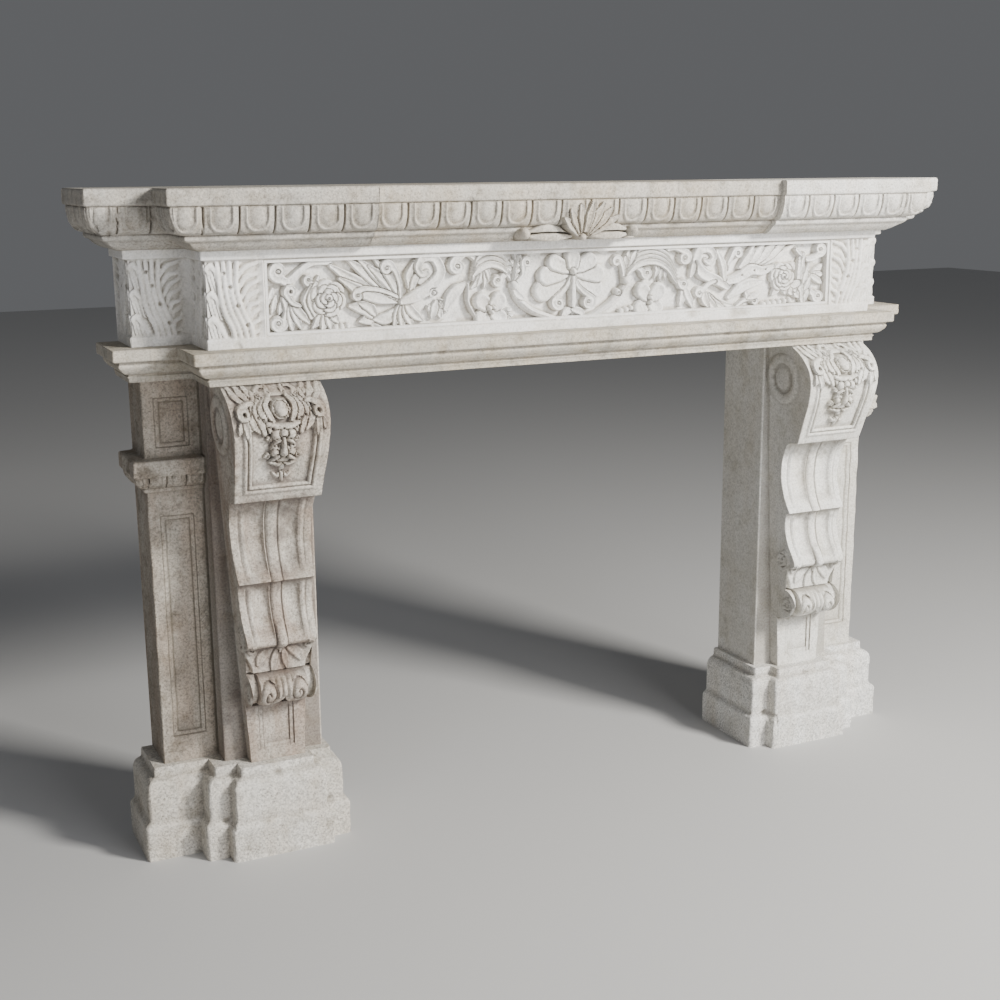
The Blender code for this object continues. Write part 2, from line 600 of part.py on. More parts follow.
def leaf_block(carving, start, width, low, high, flip):
    """One block of upright leafage: ribs leaning away from the foot, curled lobes and feathered leaves."""
    def at(a, u):
        return (start + width * (1.0 - a if flip else a), low + (high - low) * u)

    height = LEAF_GROUND
    for tier in range(4):
        base = 0.16 + 0.25 * tier
        carving.stroke(smooth_path([at(0.50, base - 0.16), at(0.74, base - 0.02), at(0.97, base + 0.14)], 4),
                       (0.004, 0.010, 0.004), (height * 0.6, height, height * 0.8), 0.4)
        carving.stroke(smooth_path([at(0.30, base - 0.12), at(0.14, base + 0.03), at(0.04, base - 0.04)], 4),
                       (0.004, 0.009, 0.005), (height * 0.6, height, height * 0.8), 0.4)
    for k in range(4):
        foot = 0.52 + 0.10 * k
        carving.stroke(smooth_path([at(foot, 0.01), at(foot - 0.20, 0.35), at(foot - 0.26, 0.62),
                                    at(foot - 0.34 + 0.02 * k, 0.98 - 0.14 * k)], 5),
                       (0.005, 0.0075, 0.004), (height * 0.9, height * 1.1, height * 0.9))


def panel_half(carving, side, zero):
    """Foliage on one half of the panel, from the middle outwards. zero is the height of its centre line."""
    def at(a, u):
        return np.array([side * a, zero + u])

    def run(*places):
        return smooth_path([at(a, u) for a, u in places])

    deep = CARVING_DEPTH
    carving.stroke(run((0.020, -0.078), (0.075, -0.068), (0.135, -0.030), (0.150, -0.005)),
                   (0.006, 0.008, 0.005), (deep * 0.6, deep * 0.7, deep * 0.6))
    carving.scroll(at(0.118, 0.055), 0.021, 0.0, 1.3 * side, 0.006, deep * 0.7)
    carving.spray([at(0.135, 0.000), at(0.142, 0.035), at(0.150, 0.066)], 3, 0.020, 0.005, deep * 0.65)
    carving.stroke(run((0.292, 0.008), (0.262, 0.052), (0.212, 0.068), (0.165, 0.048), (0.155, 0.006)),
                   (0.006, 0.016, 0.006), (deep * 0.6, deep, deep * 0.6), 0.35)
    carving.stroke(run((0.262, 0.000), (0.240, 0.030), (0.215, 0.036), (0.196, 0.028)),
                   (0.004, 0.010, 0.005), (deep * 0.6, deep * 0.9, deep * 0.7), 0.3)
    carving.scroll(at(0.190, 0.013), 0.017, 0.5, -1.3 * side, 0.005, deep * 0.95)
    for angle in (0.9, 2.2, -2.2, -0.9):
        way = np.array([np.cos(angle), np.sin(angle)])
        carving.stroke(np.array([at(0.197, -0.048) + way * s for s in (0.004, 0.014, 0.026)]),
                       (0.007, 0.015, 0.014), (deep * 0.5, deep * 0.8, deep * 0.9), 0.35)
    carving.dome(at(0.197, -0.050), 0.010, deep * 0.9)
    carving.stroke(run((0.330, -0.030), (0.330, 0.004), (0.305, 0.050), (0.270, 0.062)),
                   (0.004, 0.008, 0.006), (deep * 0.6, deep * 0.8, deep * 0.8))
    carving.scroll(at(0.292, 0.050), 0.025, 2.8, 1.3 * side, 0.007, deep * 0.9)
    carving.spray([at(0.330, -0.010), at(0.318, -0.040), at(0.300, -0.052)], 3, 0.024, 0.007, deep * 0.7)
    carving.scroll(at(0.362, 0.040), 0.036, 0.6, 1.2 * side, 0.009, deep)
    carving.dome(at(0.337, -0.020), 0.016, deep * 0.85, 1.2)
    carving.spray([at(0.375, -0.012), at(0.400, -0.045), at(0.425, -0.074)], 3, 0.026, 0.008, deep * 0.7)
    carving.spray([at(0.400, -0.016), at(0.470, 0.016), at(0.560, 0.052)], 6, 0.056, 0.009, deep, spread=0.55)
    carving.scroll(at(0.450, 0.050), 0.022, 2.6, -1.4 * side, 0.006, deep * 0.9)
    carving.spray([at(0.420, -0.028), at(0.470, -0.056), at(0.530, -0.064)], 4, 0.028, 0.008, deep * 0.7)
    carving.scroll(at(0.526, -0.006), 0.016, 0.4, 1.3 * side, 0.005, deep * 0.8)
    for turn, reach in ((0.2, 0.052), (1.5, 0.050), (2.8, 0.052), (4.1, 0.050), (5.3, 0.052)):
        tip = at(0.598, -0.006) + reach * np.array([np.cos(turn), np.sin(turn)])
        carving.stroke(smooth_path([at(0.598, -0.006), (at(0.598, -0.006) + tip) / 2, tip], 3),
                       (0.008, 0.014, 0.005), (deep * 0.4, deep * 0.6, deep * 0.4), 0.3)
    carving.rose(at(0.598, -0.006), 0.037, deep)
    carving.scroll(at(0.634, 0.036), 0.015, 1.0, 1.3 * side, 0.005, deep * 0.8)
    carving.scroll(at(0.692, 0.052), 0.025, 3.4, 1.3 * side, 0.007, deep * 0.9)
    carving.stroke(run((0.705, 0.030), (0.665, 0.036), (0.625, 0.062), (0.585, 0.066)),
                   (0.008, 0.011, 0.005), (deep * 0.8, deep * 0.85, deep * 0.6), 0.25)
    carving.spray([at(0.655, 0.006), at(0.676, -0.030), at(0.668, -0.070)], 4, 0.030, 0.008, deep * 0.8)
    carving.scroll(at(0.704, -0.056), 0.021, 1.8, -1.3 * side, 0.006, deep * 0.85)
    for k in range(3):
        carving.dome(at(0.572 + 0.017 * k, -0.072), 0.010, deep * 0.6)


def shell_flower(carving, zero):
    """The round, lobed flower in the middle of the panel, with two wound petals and a bud below."""
    centre = np.array([0.0, zero + 0.024])
    deep = CARVING_DEPTH
    for k, angle in enumerate(np.radians([-8, 20, 52, 90, 128, 160, 188])):
        way = np.array([np.cos(angle), np.sin(angle)])
        reach = 0.060 if k in (2, 3, 4) else 0.078
        path = np.array([centre + way * reach * s for s in (0.05, 0.45, 0.80)])
        carving.stroke(path, (0.004, 0.014, 0.019), (deep * 0.7, deep * 0.85, deep), 0.3)
    for side in (-1, 1):
        low = np.array([side * 0.038, zero - 0.045])
        carving.stroke(smooth_path([centre, (centre + low) / 2 + np.array([side * 0.006, 0.0]), low]),
                       (0.003, 0.012, 0.019), (deep * 0.7, deep * 0.85, deep * 0.9), 0.3)
        carving.scroll(low, 0.021, 0.3, -side * 1.4, 0.005, deep)
        bud = smooth_path([(0.0, zero - 0.056), (side * 0.010, zero - 0.070), (side * 0.022, zero - 0.080)], 3)
        carving.stroke(bud, (0.004, 0.008, 0.004), (deep * 0.6, deep * 0.8, deep * 0.5), 0.3)
    carving.stroke(np.array([centre, (0.0, zero - 0.02), (0.0, zero - 0.060)]), (0.002, 0.006, 0.005),
                   (deep * 0.8, deep * 0.9, deep * 0.7))


def frieze_grid():
    """The frieze stone: leaf blocks at the corners and a sunk panel of foliage between them."""
    corners = stepped_front(FRIEZE_HALF, FRIEZE_REACH, FRIEZE_BREAK, FRIEZE_END_REACH)
    side, short, back = FRIEZE_END_REACH, FRIEZE_BREAK, FRIEZE_REACH - FRIEZE_END_REACH
    front_half = FRIEZE_HALF - FRIEZE_BREAK
    long = 2 * front_half
    panel = (front_half - PANEL_HALF, front_half + PANEL_HALF)
    leaf_width = panel[0] - 2 * LEAF_MARGIN
    step = CARVING_STEP

    def leaf_cuts(width):
        inner = steps_between(LEAF_MARGIN, width - LEAF_MARGIN, step)
        return [LEAF_MARGIN * 0.9] + inner + [width - LEAF_MARGIN * 0.9]

    front_cuts = [cut for cut in leaf_cuts(panel[0])]
    front_cuts += [panel[0], panel[0] + 0.001, panel[0] + PANEL_FRAME]
    front_cuts += steps_between(panel[0] + PANEL_FRAME + 0.001, panel[1] - PANEL_FRAME - 0.001, step)
    front_cuts += [panel[1] - PANEL_FRAME, panel[1] - 0.001, panel[1]]
    front_cuts += [long - cut for cut in leaf_cuts(panel[0])[::-1]]
    cuts = [leaf_cuts(side), leaf_cuts(short), leaf_cuts(back), front_cuts,
            leaf_cuts(back), leaf_cuts(short), leaf_cuts(side)]
    plan = Plan(corners, cuts)
    low, high = FRIEZE_FILLET, FRIEZE_HEIGHT - FRIEZE_FILLET
    proud = FRIEZE_FILLET_PROUD
    levels = [(0.0, proud), (low - 0.001, proud), (low, proud), (low + 0.001, proud)]
    levels += [(z, proud) for z in steps_between(low + 0.001, high - 0.001, step)]
    levels += [(high - 0.001, proud), (high, proud), (high + 0.0005, 0.0), (FRIEZE_HEIGHT, 0.0)]
    height = np.array([z for z, inset in levels])
    across = plan.positions([inset for z, inset in levels])
    up = np.broadcast_to(height[:, None], across.shape)
    edges = np.broadcast_to(plan.edge, across.shape)
    in_rows = (up > low + 0.0005) & (up < high - 0.0005)
    relief = np.zeros(across.shape)
    blocks = ((0, side, True), (1, short, True), (2, back, False), (4, back, True), (5, short, False),
              (6, side, False))
    for edge, width, flip in blocks:
        carving = Carving(across, up)
        leaf_block(carving, LEAF_MARGIN, width - 2 * LEAF_MARGIN, low, high, flip)
        field = (edges == edge) & in_rows & (across > LEAF_MARGIN) & (across < width - LEAF_MARGIN)
        relief = np.where(field, carving.height - LEAF_GROUND, relief)
    for start, flip in ((LEAF_MARGIN, False), (long - LEAF_MARGIN - leaf_width, True)):
        carving = Carving(across, up)
        leaf_block(carving, start, leaf_width, low, high, flip)
        field = (edges == 3) & in_rows & (across > start) & (across < start + leaf_width)
        relief = np.where(field, carving.height - LEAF_GROUND, relief)
    carving = Carving(across - front_half, up)
    middle = (low + high) / 2
    for hand in (-1, 1):
        panel_half(carving, hand, middle)
    shell_flower(carving, middle)
    from_edge = np.minimum(PANEL_HALF - np.abs(across - front_half), np.minimum(up - low, high - up))
    frame = (edges == 3) & (from_edge > 0.0005)
    ground = (edges == 3) & (from_edge > PANEL_FRAME)
    relief = np.where(frame, -0.003, relief)
    relief = np.where(ground, -PANEL_GROUND, relief)
    relief = np.where(frame, np.maximum(relief, carving.height - PANEL_GROUND), relief)
    grid = plan.grid(levels, relief)
    grid[:, :, 2] += FRIEZE_Z
    return grid


def cornice_levels(slab_edge=0.004):
    """Levels of the shelf: cyma, two fillets, the ovolo that carries the eggs, and the slab."""
    levels = [(0.0, CYMA_INSET + 0.004), (0.002, CYMA_INSET)]
    slab_low = SHELF_HEIGHT - SLAB_HEIGHT
    ovolo_low = slab_low - OVOLO_HEIGHT
    fillet = (ovolo_low - 0.007) / 2
    for up in np.linspace(0.0, 1.0, 5):
        levels.append((0.006 + up * fillet, LOWER_FILLET_INSET + (CYMA_INSET - LOWER_FILLET_INSET - 0.008)
                       * (1.0 - up) ** 1.5))
    levels += [(0.0065 + fillet, UPPER_FILLET_INSET + 0.003), (0.008 + fillet, UPPER_FILLET_INSET),
               (ovolo_low - 0.001, UPPER_FILLET_INSET - 0.002), (ovolo_low, OVOLO_INSET)]
    for up in np.linspace(0.0, 1.0, 6)[1:]:
        levels.append((ovolo_low + up * (OVOLO_HEIGHT - 0.001),
                       SLAB_STEP + (OVOLO_INSET - SLAB_STEP) * (1.0 - np.sqrt(1.0 - (1.0 - up) ** 2))))
    levels += [(slab_low, 0.001), (slab_low + 0.002, 0.0), (SHELF_HEIGHT - slab_edge, 0.0),
               (SHELF_HEIGHT, slab_edge * 0.6)]
    return levels, ovolo_low, slab_low


def cornice_grid(corners, egg_counts, stepped, fan=False):
    """One length of the shelf, with eggs on the edges that egg_counts names."""
    levels, ovolo_low, slab_low = cornice_levels()
    height = np.array([z for z, inset in levels])
    lengths = [abs(b[0] - a[0]) + abs(b[1] - a[1]) for a, b in zip(corners, corners[1:])]
    cuts = [egg_cuts(0.0, length, count)[:-1] if count else [] for length, count in zip(lengths, egg_counts)]
    if fan:
        middle = lengths[1] / 2
        clear = [cut for cut in cuts[1] if abs(cut - middle) > FAN_SPRIG + 0.015]
        cuts[1] = sorted(clear + steps_between(middle - FAN_SPRIG - 0.015, middle + FAN_SPRIG + 0.015, 0.008))
    plan = Plan(corners, cuts, stepped)
    along = plan.positions([inset for z, inset in levels])
    up = (height - ovolo_low) / (slab_low - ovolo_low)
    band = (up > 0.0) & (up < 0.97)
    relief = np.zeros(along.shape)
    for edge, (length, count) in enumerate(zip(lengths, egg_counts)):
        if count:
            pitch = length / count
            eggs = egg_relief(along % pitch - pitch / 2, up[:, None], pitch)
            relief += np.where(band[:, None] & (plan.edge == edge), eggs, 0.0)
    grid = plan.grid(levels, relief)
    if fan:
        carving = Carving(grid[:, :, 0], grid[:, :, 2])
        leaf_fan(carving)
        stand = WALL_Y - SHELF_CENTRE_REACH + CYMA_INSET - 0.012 - carving.height
        shown = (carving.height > 0.002) & (plan.edge == 1)
        shown &= (height > 0.003)[:, None] & (height < slab_low - 0.001)[:, None]
        grid[:, :, 1] = np.where(shown, np.minimum(grid[:, :, 1], stand), grid[:, :, 1])
    grid[:, :, 2] += SHELF_Z
    return grid


def leaf_fan(carving):
    """The fan of leaves in the middle of the shelf, with a berried sprig to each side."""
    foot = np.array([0.0, 0.006])
    for k in range(9):
        angle = np.pi * (0.08 + 0.84 * k / 8)
        way = np.array([np.cos(angle), np.sin(angle)])
        tip = foot + way * FAN_RADIUS * (0.86 + 0.20 * np.sin(angle))
        carving.stroke(smooth_path([foot, (foot + tip) / 2, tip], 4), (0.004, 0.0085, 0.003),
                       (FAN_DEPTH * 1.1, FAN_DEPTH * 1.35, FAN_DEPTH * 1.5), 0.12)
    for side in (-1, 1):
        carving.stroke(smooth_path([(side * 0.012, 0.014), (side * 0.07, 0.026), (side * 0.125, 0.016)], 5),
                       (0.010, 0.014, 0.008), (FAN_DEPTH, FAN_DEPTH * 1.2, FAN_DEPTH), 0.1)
        carving.dome((side * FAN_SPRIG, 0.014), 0.011, FAN_DEPTH * 1.2)


def build():
    clear_scene()
    collection = bpy.data.collections.new("fireplace_mantel")
    bpy.context.scene.collection.children.link(collection)
    for side, hand in ((-1, "left"), (1, "right")):
        leg = stone(f"jamb_stone_{hand}", (0.62, 0.58, 0.50) if side < 0 else (0.74, 0.71, 0.64), 0.85)
        plinth = plinth_plan().grid(plinth_levels())
        skin(f"plinth_{hand}", mirror_grid(plinth, side),
             stone(f"plinth_stone_{hand}", (0.70, 0.68, 0.61), 0.85), collection)
        skin(f"jamb_{hand}", mirror_grid(jamb_grid(), side), leg, collection, CONSOLE_SHARE)
        skin(f"pilaster_{hand}", mirror_grid(pilaster_grid(), side),
             stone(f"pilaster_stone_{hand}", (0.58, 0.54, 0.46), 0.85), collection, PILASTER_SHARE)
    skin("architrave", architrave_grid(), stone("architrave_stone", (0.72, 0.69, 0.60), 0.85), collection)
    skin("frieze", frieze_grid(), stone("frieze_stone", (0.84, 0.83, 0.80), 0.8), collection, FRIEZE_SHARE)
    centre_front = [(-SHELF_CENTRE_HALF + JOINT, 0.0), (-SHELF_CENTRE_HALF + JOINT, SHELF_CENTRE_REACH),
                    (SHELF_CENTRE_HALF - JOINT, SHELF_CENTRE_REACH), (SHELF_CENTRE_HALF - JOINT, 0.0)]
    front_eggs = round(2 * SHELF_CENTRE_HALF / EGG_PITCH)
    skin("shelf_centre", cornice_grid(centre_front, [0, front_eggs, 0], [0, 1, 0], fan=True),
         stone("shelf_stone_centre", (0.70, 0.66, 0.55), 0.85), collection, SHELF_SHARE)
    end_front = [(SHELF_CENTRE_HALF, 0.0), (SHELF_CENTRE_HALF, SHELF_REACH),
                 (SHELF_HALF - SHELF_BREAK, SHELF_REACH), (SHELF_HALF - SHELF_BREAK, SHELF_END_REACH),
                 (SHELF_HALF, SHELF_END_REACH), (SHELF_HALF, 0.0)]
    widths = [SHELF_HALF - SHELF_BREAK - SHELF_CENTRE_HALF, SHELF_REACH - SHELF_END_REACH, SHELF_BREAK,
              SHELF_END_REACH]
    counts = [0] + [max(round(width / EGG_PITCH), 1) for width in widths]
    for side, hand in ((-1, "left"), (1, "right")):
        end = cornice_grid(end_front, counts, [0, 1, 1, 1, 1])
        skin(f"shelf_{hand}", mirror_grid(end, side), stone(f"shelf_stone_{hand}", (0.72, 0.69, 0.62), 0.85),
             collection, SHELF_SHARE)


build()
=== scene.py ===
import bpy
import bmesh
import json
import math
import numpy as np
from mathutils import Matrix, Vector

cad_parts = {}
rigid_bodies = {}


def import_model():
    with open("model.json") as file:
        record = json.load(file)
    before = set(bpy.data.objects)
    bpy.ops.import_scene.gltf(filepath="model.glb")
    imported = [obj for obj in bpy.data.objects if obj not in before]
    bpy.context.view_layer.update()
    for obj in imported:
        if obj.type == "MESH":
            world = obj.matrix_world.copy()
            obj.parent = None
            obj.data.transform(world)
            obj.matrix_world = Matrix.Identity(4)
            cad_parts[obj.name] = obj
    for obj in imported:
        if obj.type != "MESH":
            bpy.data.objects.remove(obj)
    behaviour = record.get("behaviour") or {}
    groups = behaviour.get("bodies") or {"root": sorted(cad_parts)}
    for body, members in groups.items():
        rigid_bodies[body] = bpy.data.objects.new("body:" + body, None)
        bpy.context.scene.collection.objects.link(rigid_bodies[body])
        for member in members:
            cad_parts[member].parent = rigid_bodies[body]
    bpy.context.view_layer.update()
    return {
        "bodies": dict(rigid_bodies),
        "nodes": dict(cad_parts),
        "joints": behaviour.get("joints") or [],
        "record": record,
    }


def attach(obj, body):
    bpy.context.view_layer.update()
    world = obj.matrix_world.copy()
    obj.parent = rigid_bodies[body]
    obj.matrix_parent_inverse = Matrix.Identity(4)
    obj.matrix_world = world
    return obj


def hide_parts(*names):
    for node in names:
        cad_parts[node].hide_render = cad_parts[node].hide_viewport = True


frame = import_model()
print("stage: the stones of the mantel are loaded")

# heights of the courses and the plane of the wall, in metres
courses = {
    "wall": 0.1925,
    "plinth": (0.0, 0.211),
    "leg": (0.2113, 1.0933),
    "architrave": (1.0936, 1.1676),
    "frieze": (1.1679, 1.3729),
    "shelf": (1.3732, 1.5002),
}
# the stones that come in pairs: sign of x, name of the node, name of the finish
pair = ((-1, "left", "Left"), (1, "right", "Right"))


# paths, profiles and plans
def smoothPath(points, steps=6):
    # a smooth curve through the points; two points give a straight line
    given = np.array(points, float)
    if len(given) == 2:
        return given[0] + (given[1] - given[0]) * np.linspace(0, 1, steps + 1)[:, None]
    ends = np.vstack([2 * given[0] - given[1], given, 2 * given[-1] - given[-2]])
    curve = []
    for k in range(len(given) - 1):
        a, b, c, d = ends[k:k + 4]
        for t in np.linspace(0.0, 1.0, steps, endpoint=False):
            curve.append(0.5 * (2 * b + (c - a) * t + (2 * a - 5 * b + 4 * c - d) * t * t
                                + (3 * b - a - 3 * c + d) * t ** 3))
    curve.append(given[-1])
    return np.array(curve)


def evenly(path, step):
    # points at even spacing along a path
    path = np.array(path, float)
    run = np.concatenate([[0], np.cumsum(np.linalg.norm(np.diff(path, axis=0), axis=1))])
    places = np.linspace(0, run[-1], max(int(round(run[-1] / step)), 1) + 1)
    return np.stack([np.interp(places, run, path[:, k]) for k in range(path.shape[1])], axis=1)


def wornProfile(path, step, soften):
    # a moulding's profile as (height, inset) rows, with its edges worn round
    rows = evenly(path, step)
    for _ in range(soften):
        rows[1:-1] = 0.25 * rows[:-2] + 0.5 * rows[1:-1] + 0.25 * rows[2:]
    rows[:, 0] = np.maximum.accumulate(rows[:, 0])
    return rows


def gentle(low, high, value):
    # an eased step from 0 at low to 1 at high
    share = np.clip((value - low) / (high - low), 0.0, 1.0)
    return share * share * (3.0 - 2.0 * share)


def dome(share):
    # a half round, 1 in the middle and 0 at -1 and 1
    return np.sqrt(np.clip(1 - share ** 2, 0, 1))


def bell(share, power=2):
    return np.exp(-share ** power)


def unevenness(x, y, z, size, seed):
    # slow irregular waves through space, about -1 to 1
    draw = np.random.default_rng(seed)
    total = np.zeros(np.broadcast(x, y, z).shape)
    for _ in range(7):
        way = draw.normal(size=3)
        way /= np.linalg.norm(way)
        pace = 2 * math.pi / size * (0.6 + 0.9 * draw.random())
        total += np.sin((x * way[0] + y * way[1] + z * way[2]) * pace + draw.random() * 6.28)
    return total / 3.2


def mixCuts(firm, loose, least=0.0008):
    # firm cuts all stay; a loose one stays only where it has room
    firm = np.array(sorted(firm))
    kept = [cut for cut in loose if not len(firm) or np.abs(firm - cut).min() > least]
    return sorted(list(firm) + kept)


def evenCuts(low, high, step):
    return list(np.linspace(low, high, max(int(round((high - low) / step)), 1) + 1)[1:-1])


def edgeLengths(corners):
    return [abs(b[0] - a[0]) + abs(b[1] - a[1]) for a, b in zip(corners, corners[1:])]


class StonePlan:
    # the stone seen from above: straight edges from the wall round the front and back to the wall
    def __init__(self, corners, cuts, stepped=None, worn=0.004, seed=1):
        places = np.array([(x, courses["wall"] - reach) for x, reach in corners])
        edges = len(places) - 1
        stepped = stepped or [1] * edges
        sides = np.diff(places, axis=0)
        self.lengths = np.linalg.norm(sides, axis=1)
        ways = sides / self.lengths[:, None]
        normals = np.stack([-ways[:, 1], ways[:, 0]], axis=1)
        inward = np.zeros((edges + 1, 2))
        inward[:-1] += normals * np.array(stepped)[:, None]
        inward[1:] += normals * np.array(stepped)[:, None]
        turn = [0] + [float(np.cross(ways[k - 1], ways[k])) * stepped[k - 1] * stepped[k]
                      for k in range(1, edges)] + [0]
        edgeOf, along, corner = [], [], []
        for k in range(edges):
            near = []
            if turn[k] > 0.5:
                near += [worn * s for s in (0.5, 0.75, 1.05, 1.7)]
            if turn[k + 1] > 0.5:
                near += [self.lengths[k] - worn * s for s in (1.7, 1.05, 0.75, 0.5)]
            here = mixCuts(near, cuts[k], 0.0007)
            edgeOf += [k] * (1 + len(here))
            along += [0.0] + here
            corner += [True] + [False] * len(here)
        edgeOf.append(edges - 1)
        along.append(float(self.lengths[-1]))
        corner.append(True)
        self.edge = np.array(edgeOf)
        self.along = np.array(along)
        self.corner = np.array(corner)
        self.start = places[self.edge]
        self.way = ways[self.edge]
        self.normal = normals[self.edge]
        self.stepped = np.array(stepped)[self.edge]
        self.startShift = np.einsum("ij,ij->i", inward[self.edge], self.way)
        self.endShift = np.einsum("ij,ij->i", inward[self.edge + 1], self.way)
        self.startTurn = np.array(turn)[self.edge] > 0.5
        self.endTurn = np.array(turn)[self.edge + 1] > 0.5
        self.cornerInward = inward[np.append(self.edge[:-1], edges)]
        self.cornerTurn = np.append(np.array(turn)[self.edge[:-1]], 0) > 0.5
        self.worn = worn
        self.seed = seed

    def positions(self, insets):
        depth = np.array(insets)[:, None]
        length = self.lengths[self.edge]
        give = np.minimum(length, max(1.3 * np.abs(insets).max(), 1e-4))
        nearStart = np.clip(1.0 - self.along / give, 0.0, 1.0)
        nearEnd = np.clip(1.0 - (length - self.along) / give, 0.0, 1.0)
        return self.along + depth * (self.startShift * nearStart + self.endShift * nearEnd)

    def apart(self, insets):
        # how far each column stands from the corners at either end of its edge
        across = self.positions(insets)
        depth = np.array(insets)[:, None]
        return (across - depth * self.startShift,
                self.lengths[self.edge] + depth * self.endShift - across)

    def grid(self, rows, relief=None):
        # points of the stone; each row is (height, inset) and relief stands out from the faces
        heights, insets = rows[:, 0], rows[:, 1]
        across = self.positions(insets)
        wear = 1.0 + 0.45 * unevenness(self.edge[None, :] * 3.1, 0.0, heights[:, None], 0.09, self.seed)
        radius = np.clip(self.worn * wear, self.worn * 0.4, self.worn * 1.5)
        # columns beside an outer corner keep clear of the mitre, also where the face is cut back
        cutBack = np.clip(-relief, 0, None) if relief is not None else np.zeros(across.shape)
        clear = 0.33 * radius + 1.08 * cutBack + 0.0002
        fromStart, fromEnd = self.apart(insets)
        across = across + np.where(self.startTurn, clear * np.clip(1 - fromStart / (5 * clear), 0, 1), 0.0)
        across = across - np.where(self.endTurn, clear * np.clip(1 - fromEnd / (5 * clear), 0, 1), 0.0)
        fromStart = across - insets[:, None] * self.startShift
        fromEnd = self.lengths[self.edge] + insets[:, None] * self.endShift - across
        rounding = np.zeros(across.shape)
        for apart, turned in ((fromStart, self.startTurn), (fromEnd, self.endTurn)):
            bend = radius - np.sqrt(np.clip(radius ** 2 - np.clip(radius - apart, 0, None) ** 2, 0, None))
            rounding += np.where(turned & (apart < radius), bend, 0.0)
        drawn = (insets[:, None] + rounding) * self.stepped
        if relief is not None:
            drawn = drawn - relief * self.stepped
        flat = self.start + self.way * across[:, :, None] + self.normal * drawn[:, :, None]
        endShare = np.where(np.arange(len(self.along)) == len(self.along) - 1, self.along, 0.0)
        cornerInset = insets[:, None] + np.where(self.cornerTurn, 0.293 * radius + cutBack, 0.0)
        mitred = self.start + self.way * endShare[:, None]
        mitred = mitred + self.cornerInward * cornerInset[:, :, None]
        points = np.zeros((len(rows), len(self.along), 3))
        points[:, :, :2] = np.where(self.corner[:, None], mitred, flat)
        points[:, :, 2] = heights[:, None]
        return points


# carving
class Relief:
    # heights of carving over a field; each new form lies over the ones before it
    def __init__(self, across, up, cutting=1.0, bold=1.0):
        self.across = across
        self.up = up
        self.cutting = cutting
        self.bold = bold
        self.height = np.zeros(across.shape)

    def spots(self, low, high):
        inside = (self.across > low[0]) & (self.across < high[0])
        return np.nonzero(inside & (self.up > low[1]) & (self.up < high[1]))

    def band(self, path, width, level, hollow=0.0, ridge=0.0, shoulder=0.5, trench=0.0016, cut=0.006):
        # half widths and levels are spread evenly along the path
        path = np.asarray(path, float)
        t = np.linspace(0, 1, len(path))
        half = np.interp(t, np.linspace(0, 1, len(width)), width) * self.bold
        crest = np.interp(t, np.linspace(0, 1, len(level)), level)
        reach = half.max() + trench
        place = self.spots(path.min(axis=0) - reach, path.max(axis=0) + reach)
        if not len(place[0]):
            return
        a, u = self.across[place], self.up[place]
        apart, wide, high = np.full(a.shape, 9.0), np.full(a.shape, 1e-3), np.zeros(a.shape)
        for k in range(len(path) - 1):
            step = path[k + 1] - path[k]
            share = ((a - path[k][0]) * step[0] + (u - path[k][1]) * step[1]) / max(step @ step, 1e-12)
            share = np.clip(share, 0, 1)
            gap = np.hypot(a - path[k][0] - share * step[0], u - path[k][1] - share * step[1])
            halfHere = half[k] + share * (half[k + 1] - half[k])
            nearer = gap / halfHere < apart
            apart = np.where(nearer, gap / halfHere, apart)
            wide = np.where(nearer, halfHere, wide)
            high = np.where(nearer, crest[k] + share * (crest[k + 1] - crest[k]), high)
        top = shoulder + (1 - shoulder) * dome(apart)
        top = top - hollow * np.clip(1 - (apart / 0.72) ** 2, 0, 1)
        top = top + ridge * np.clip(1 - (apart / 0.25) ** 2, 0, 1)
        old = self.height[place]
        formed = np.maximum(high * top, old) if self.cutting == 0 else high * top
        beside = (apart >= 1) & ((apart - 1) * wide < trench) & (self.cutting > 0)
        self.height[place] = np.where(apart < 1, formed, self.trenched(old, beside, high * shoulder, cut))

    def trenched(self, old, beside, level, cut):
        # the older carving with a narrow trench cut beside the new form
        return np.where(beside, np.minimum(old, np.maximum(level - cut * self.cutting, 0)), old)

    def stroke(self, spots, width, level, steps=6, **shape):
        self.band(smoothPath(spots, steps), width, level, **shape)

    def bud(self, centre, radius, level, stretch=1.0, shoulder=0.45, trench=0.0014, cut=0.006):
        reach = radius * max(stretch, 1.0) + trench
        place = self.spots(np.array(centre) - reach, np.array(centre) + reach)
        if not len(place[0]):
            return
        apart = np.hypot((self.across[place] - centre[0]) / radius,
                         (self.up[place] - centre[1]) / (radius * stretch))
        top = level * (shoulder + (1 - shoulder) * dome(apart))
        old = self.height[place]
        beside = (apart >= 1) & ((apart - 1) * radius < trench)
        self.height[place] = np.where(apart < 1, top, self.trenched(old, beside, level * shoulder, cut))

    def drill(self, centre, radius, depth):
        place = self.spots(np.array(centre) - radius, np.array(centre) + radius)
        if not len(place[0]):
            return
        apart = np.hypot(self.across[place] - centre[0], self.up[place] - centre[1]) / radius
        self.height[place] -= depth * np.clip(1.25 * (1 - apart ** 2), 0, 1)


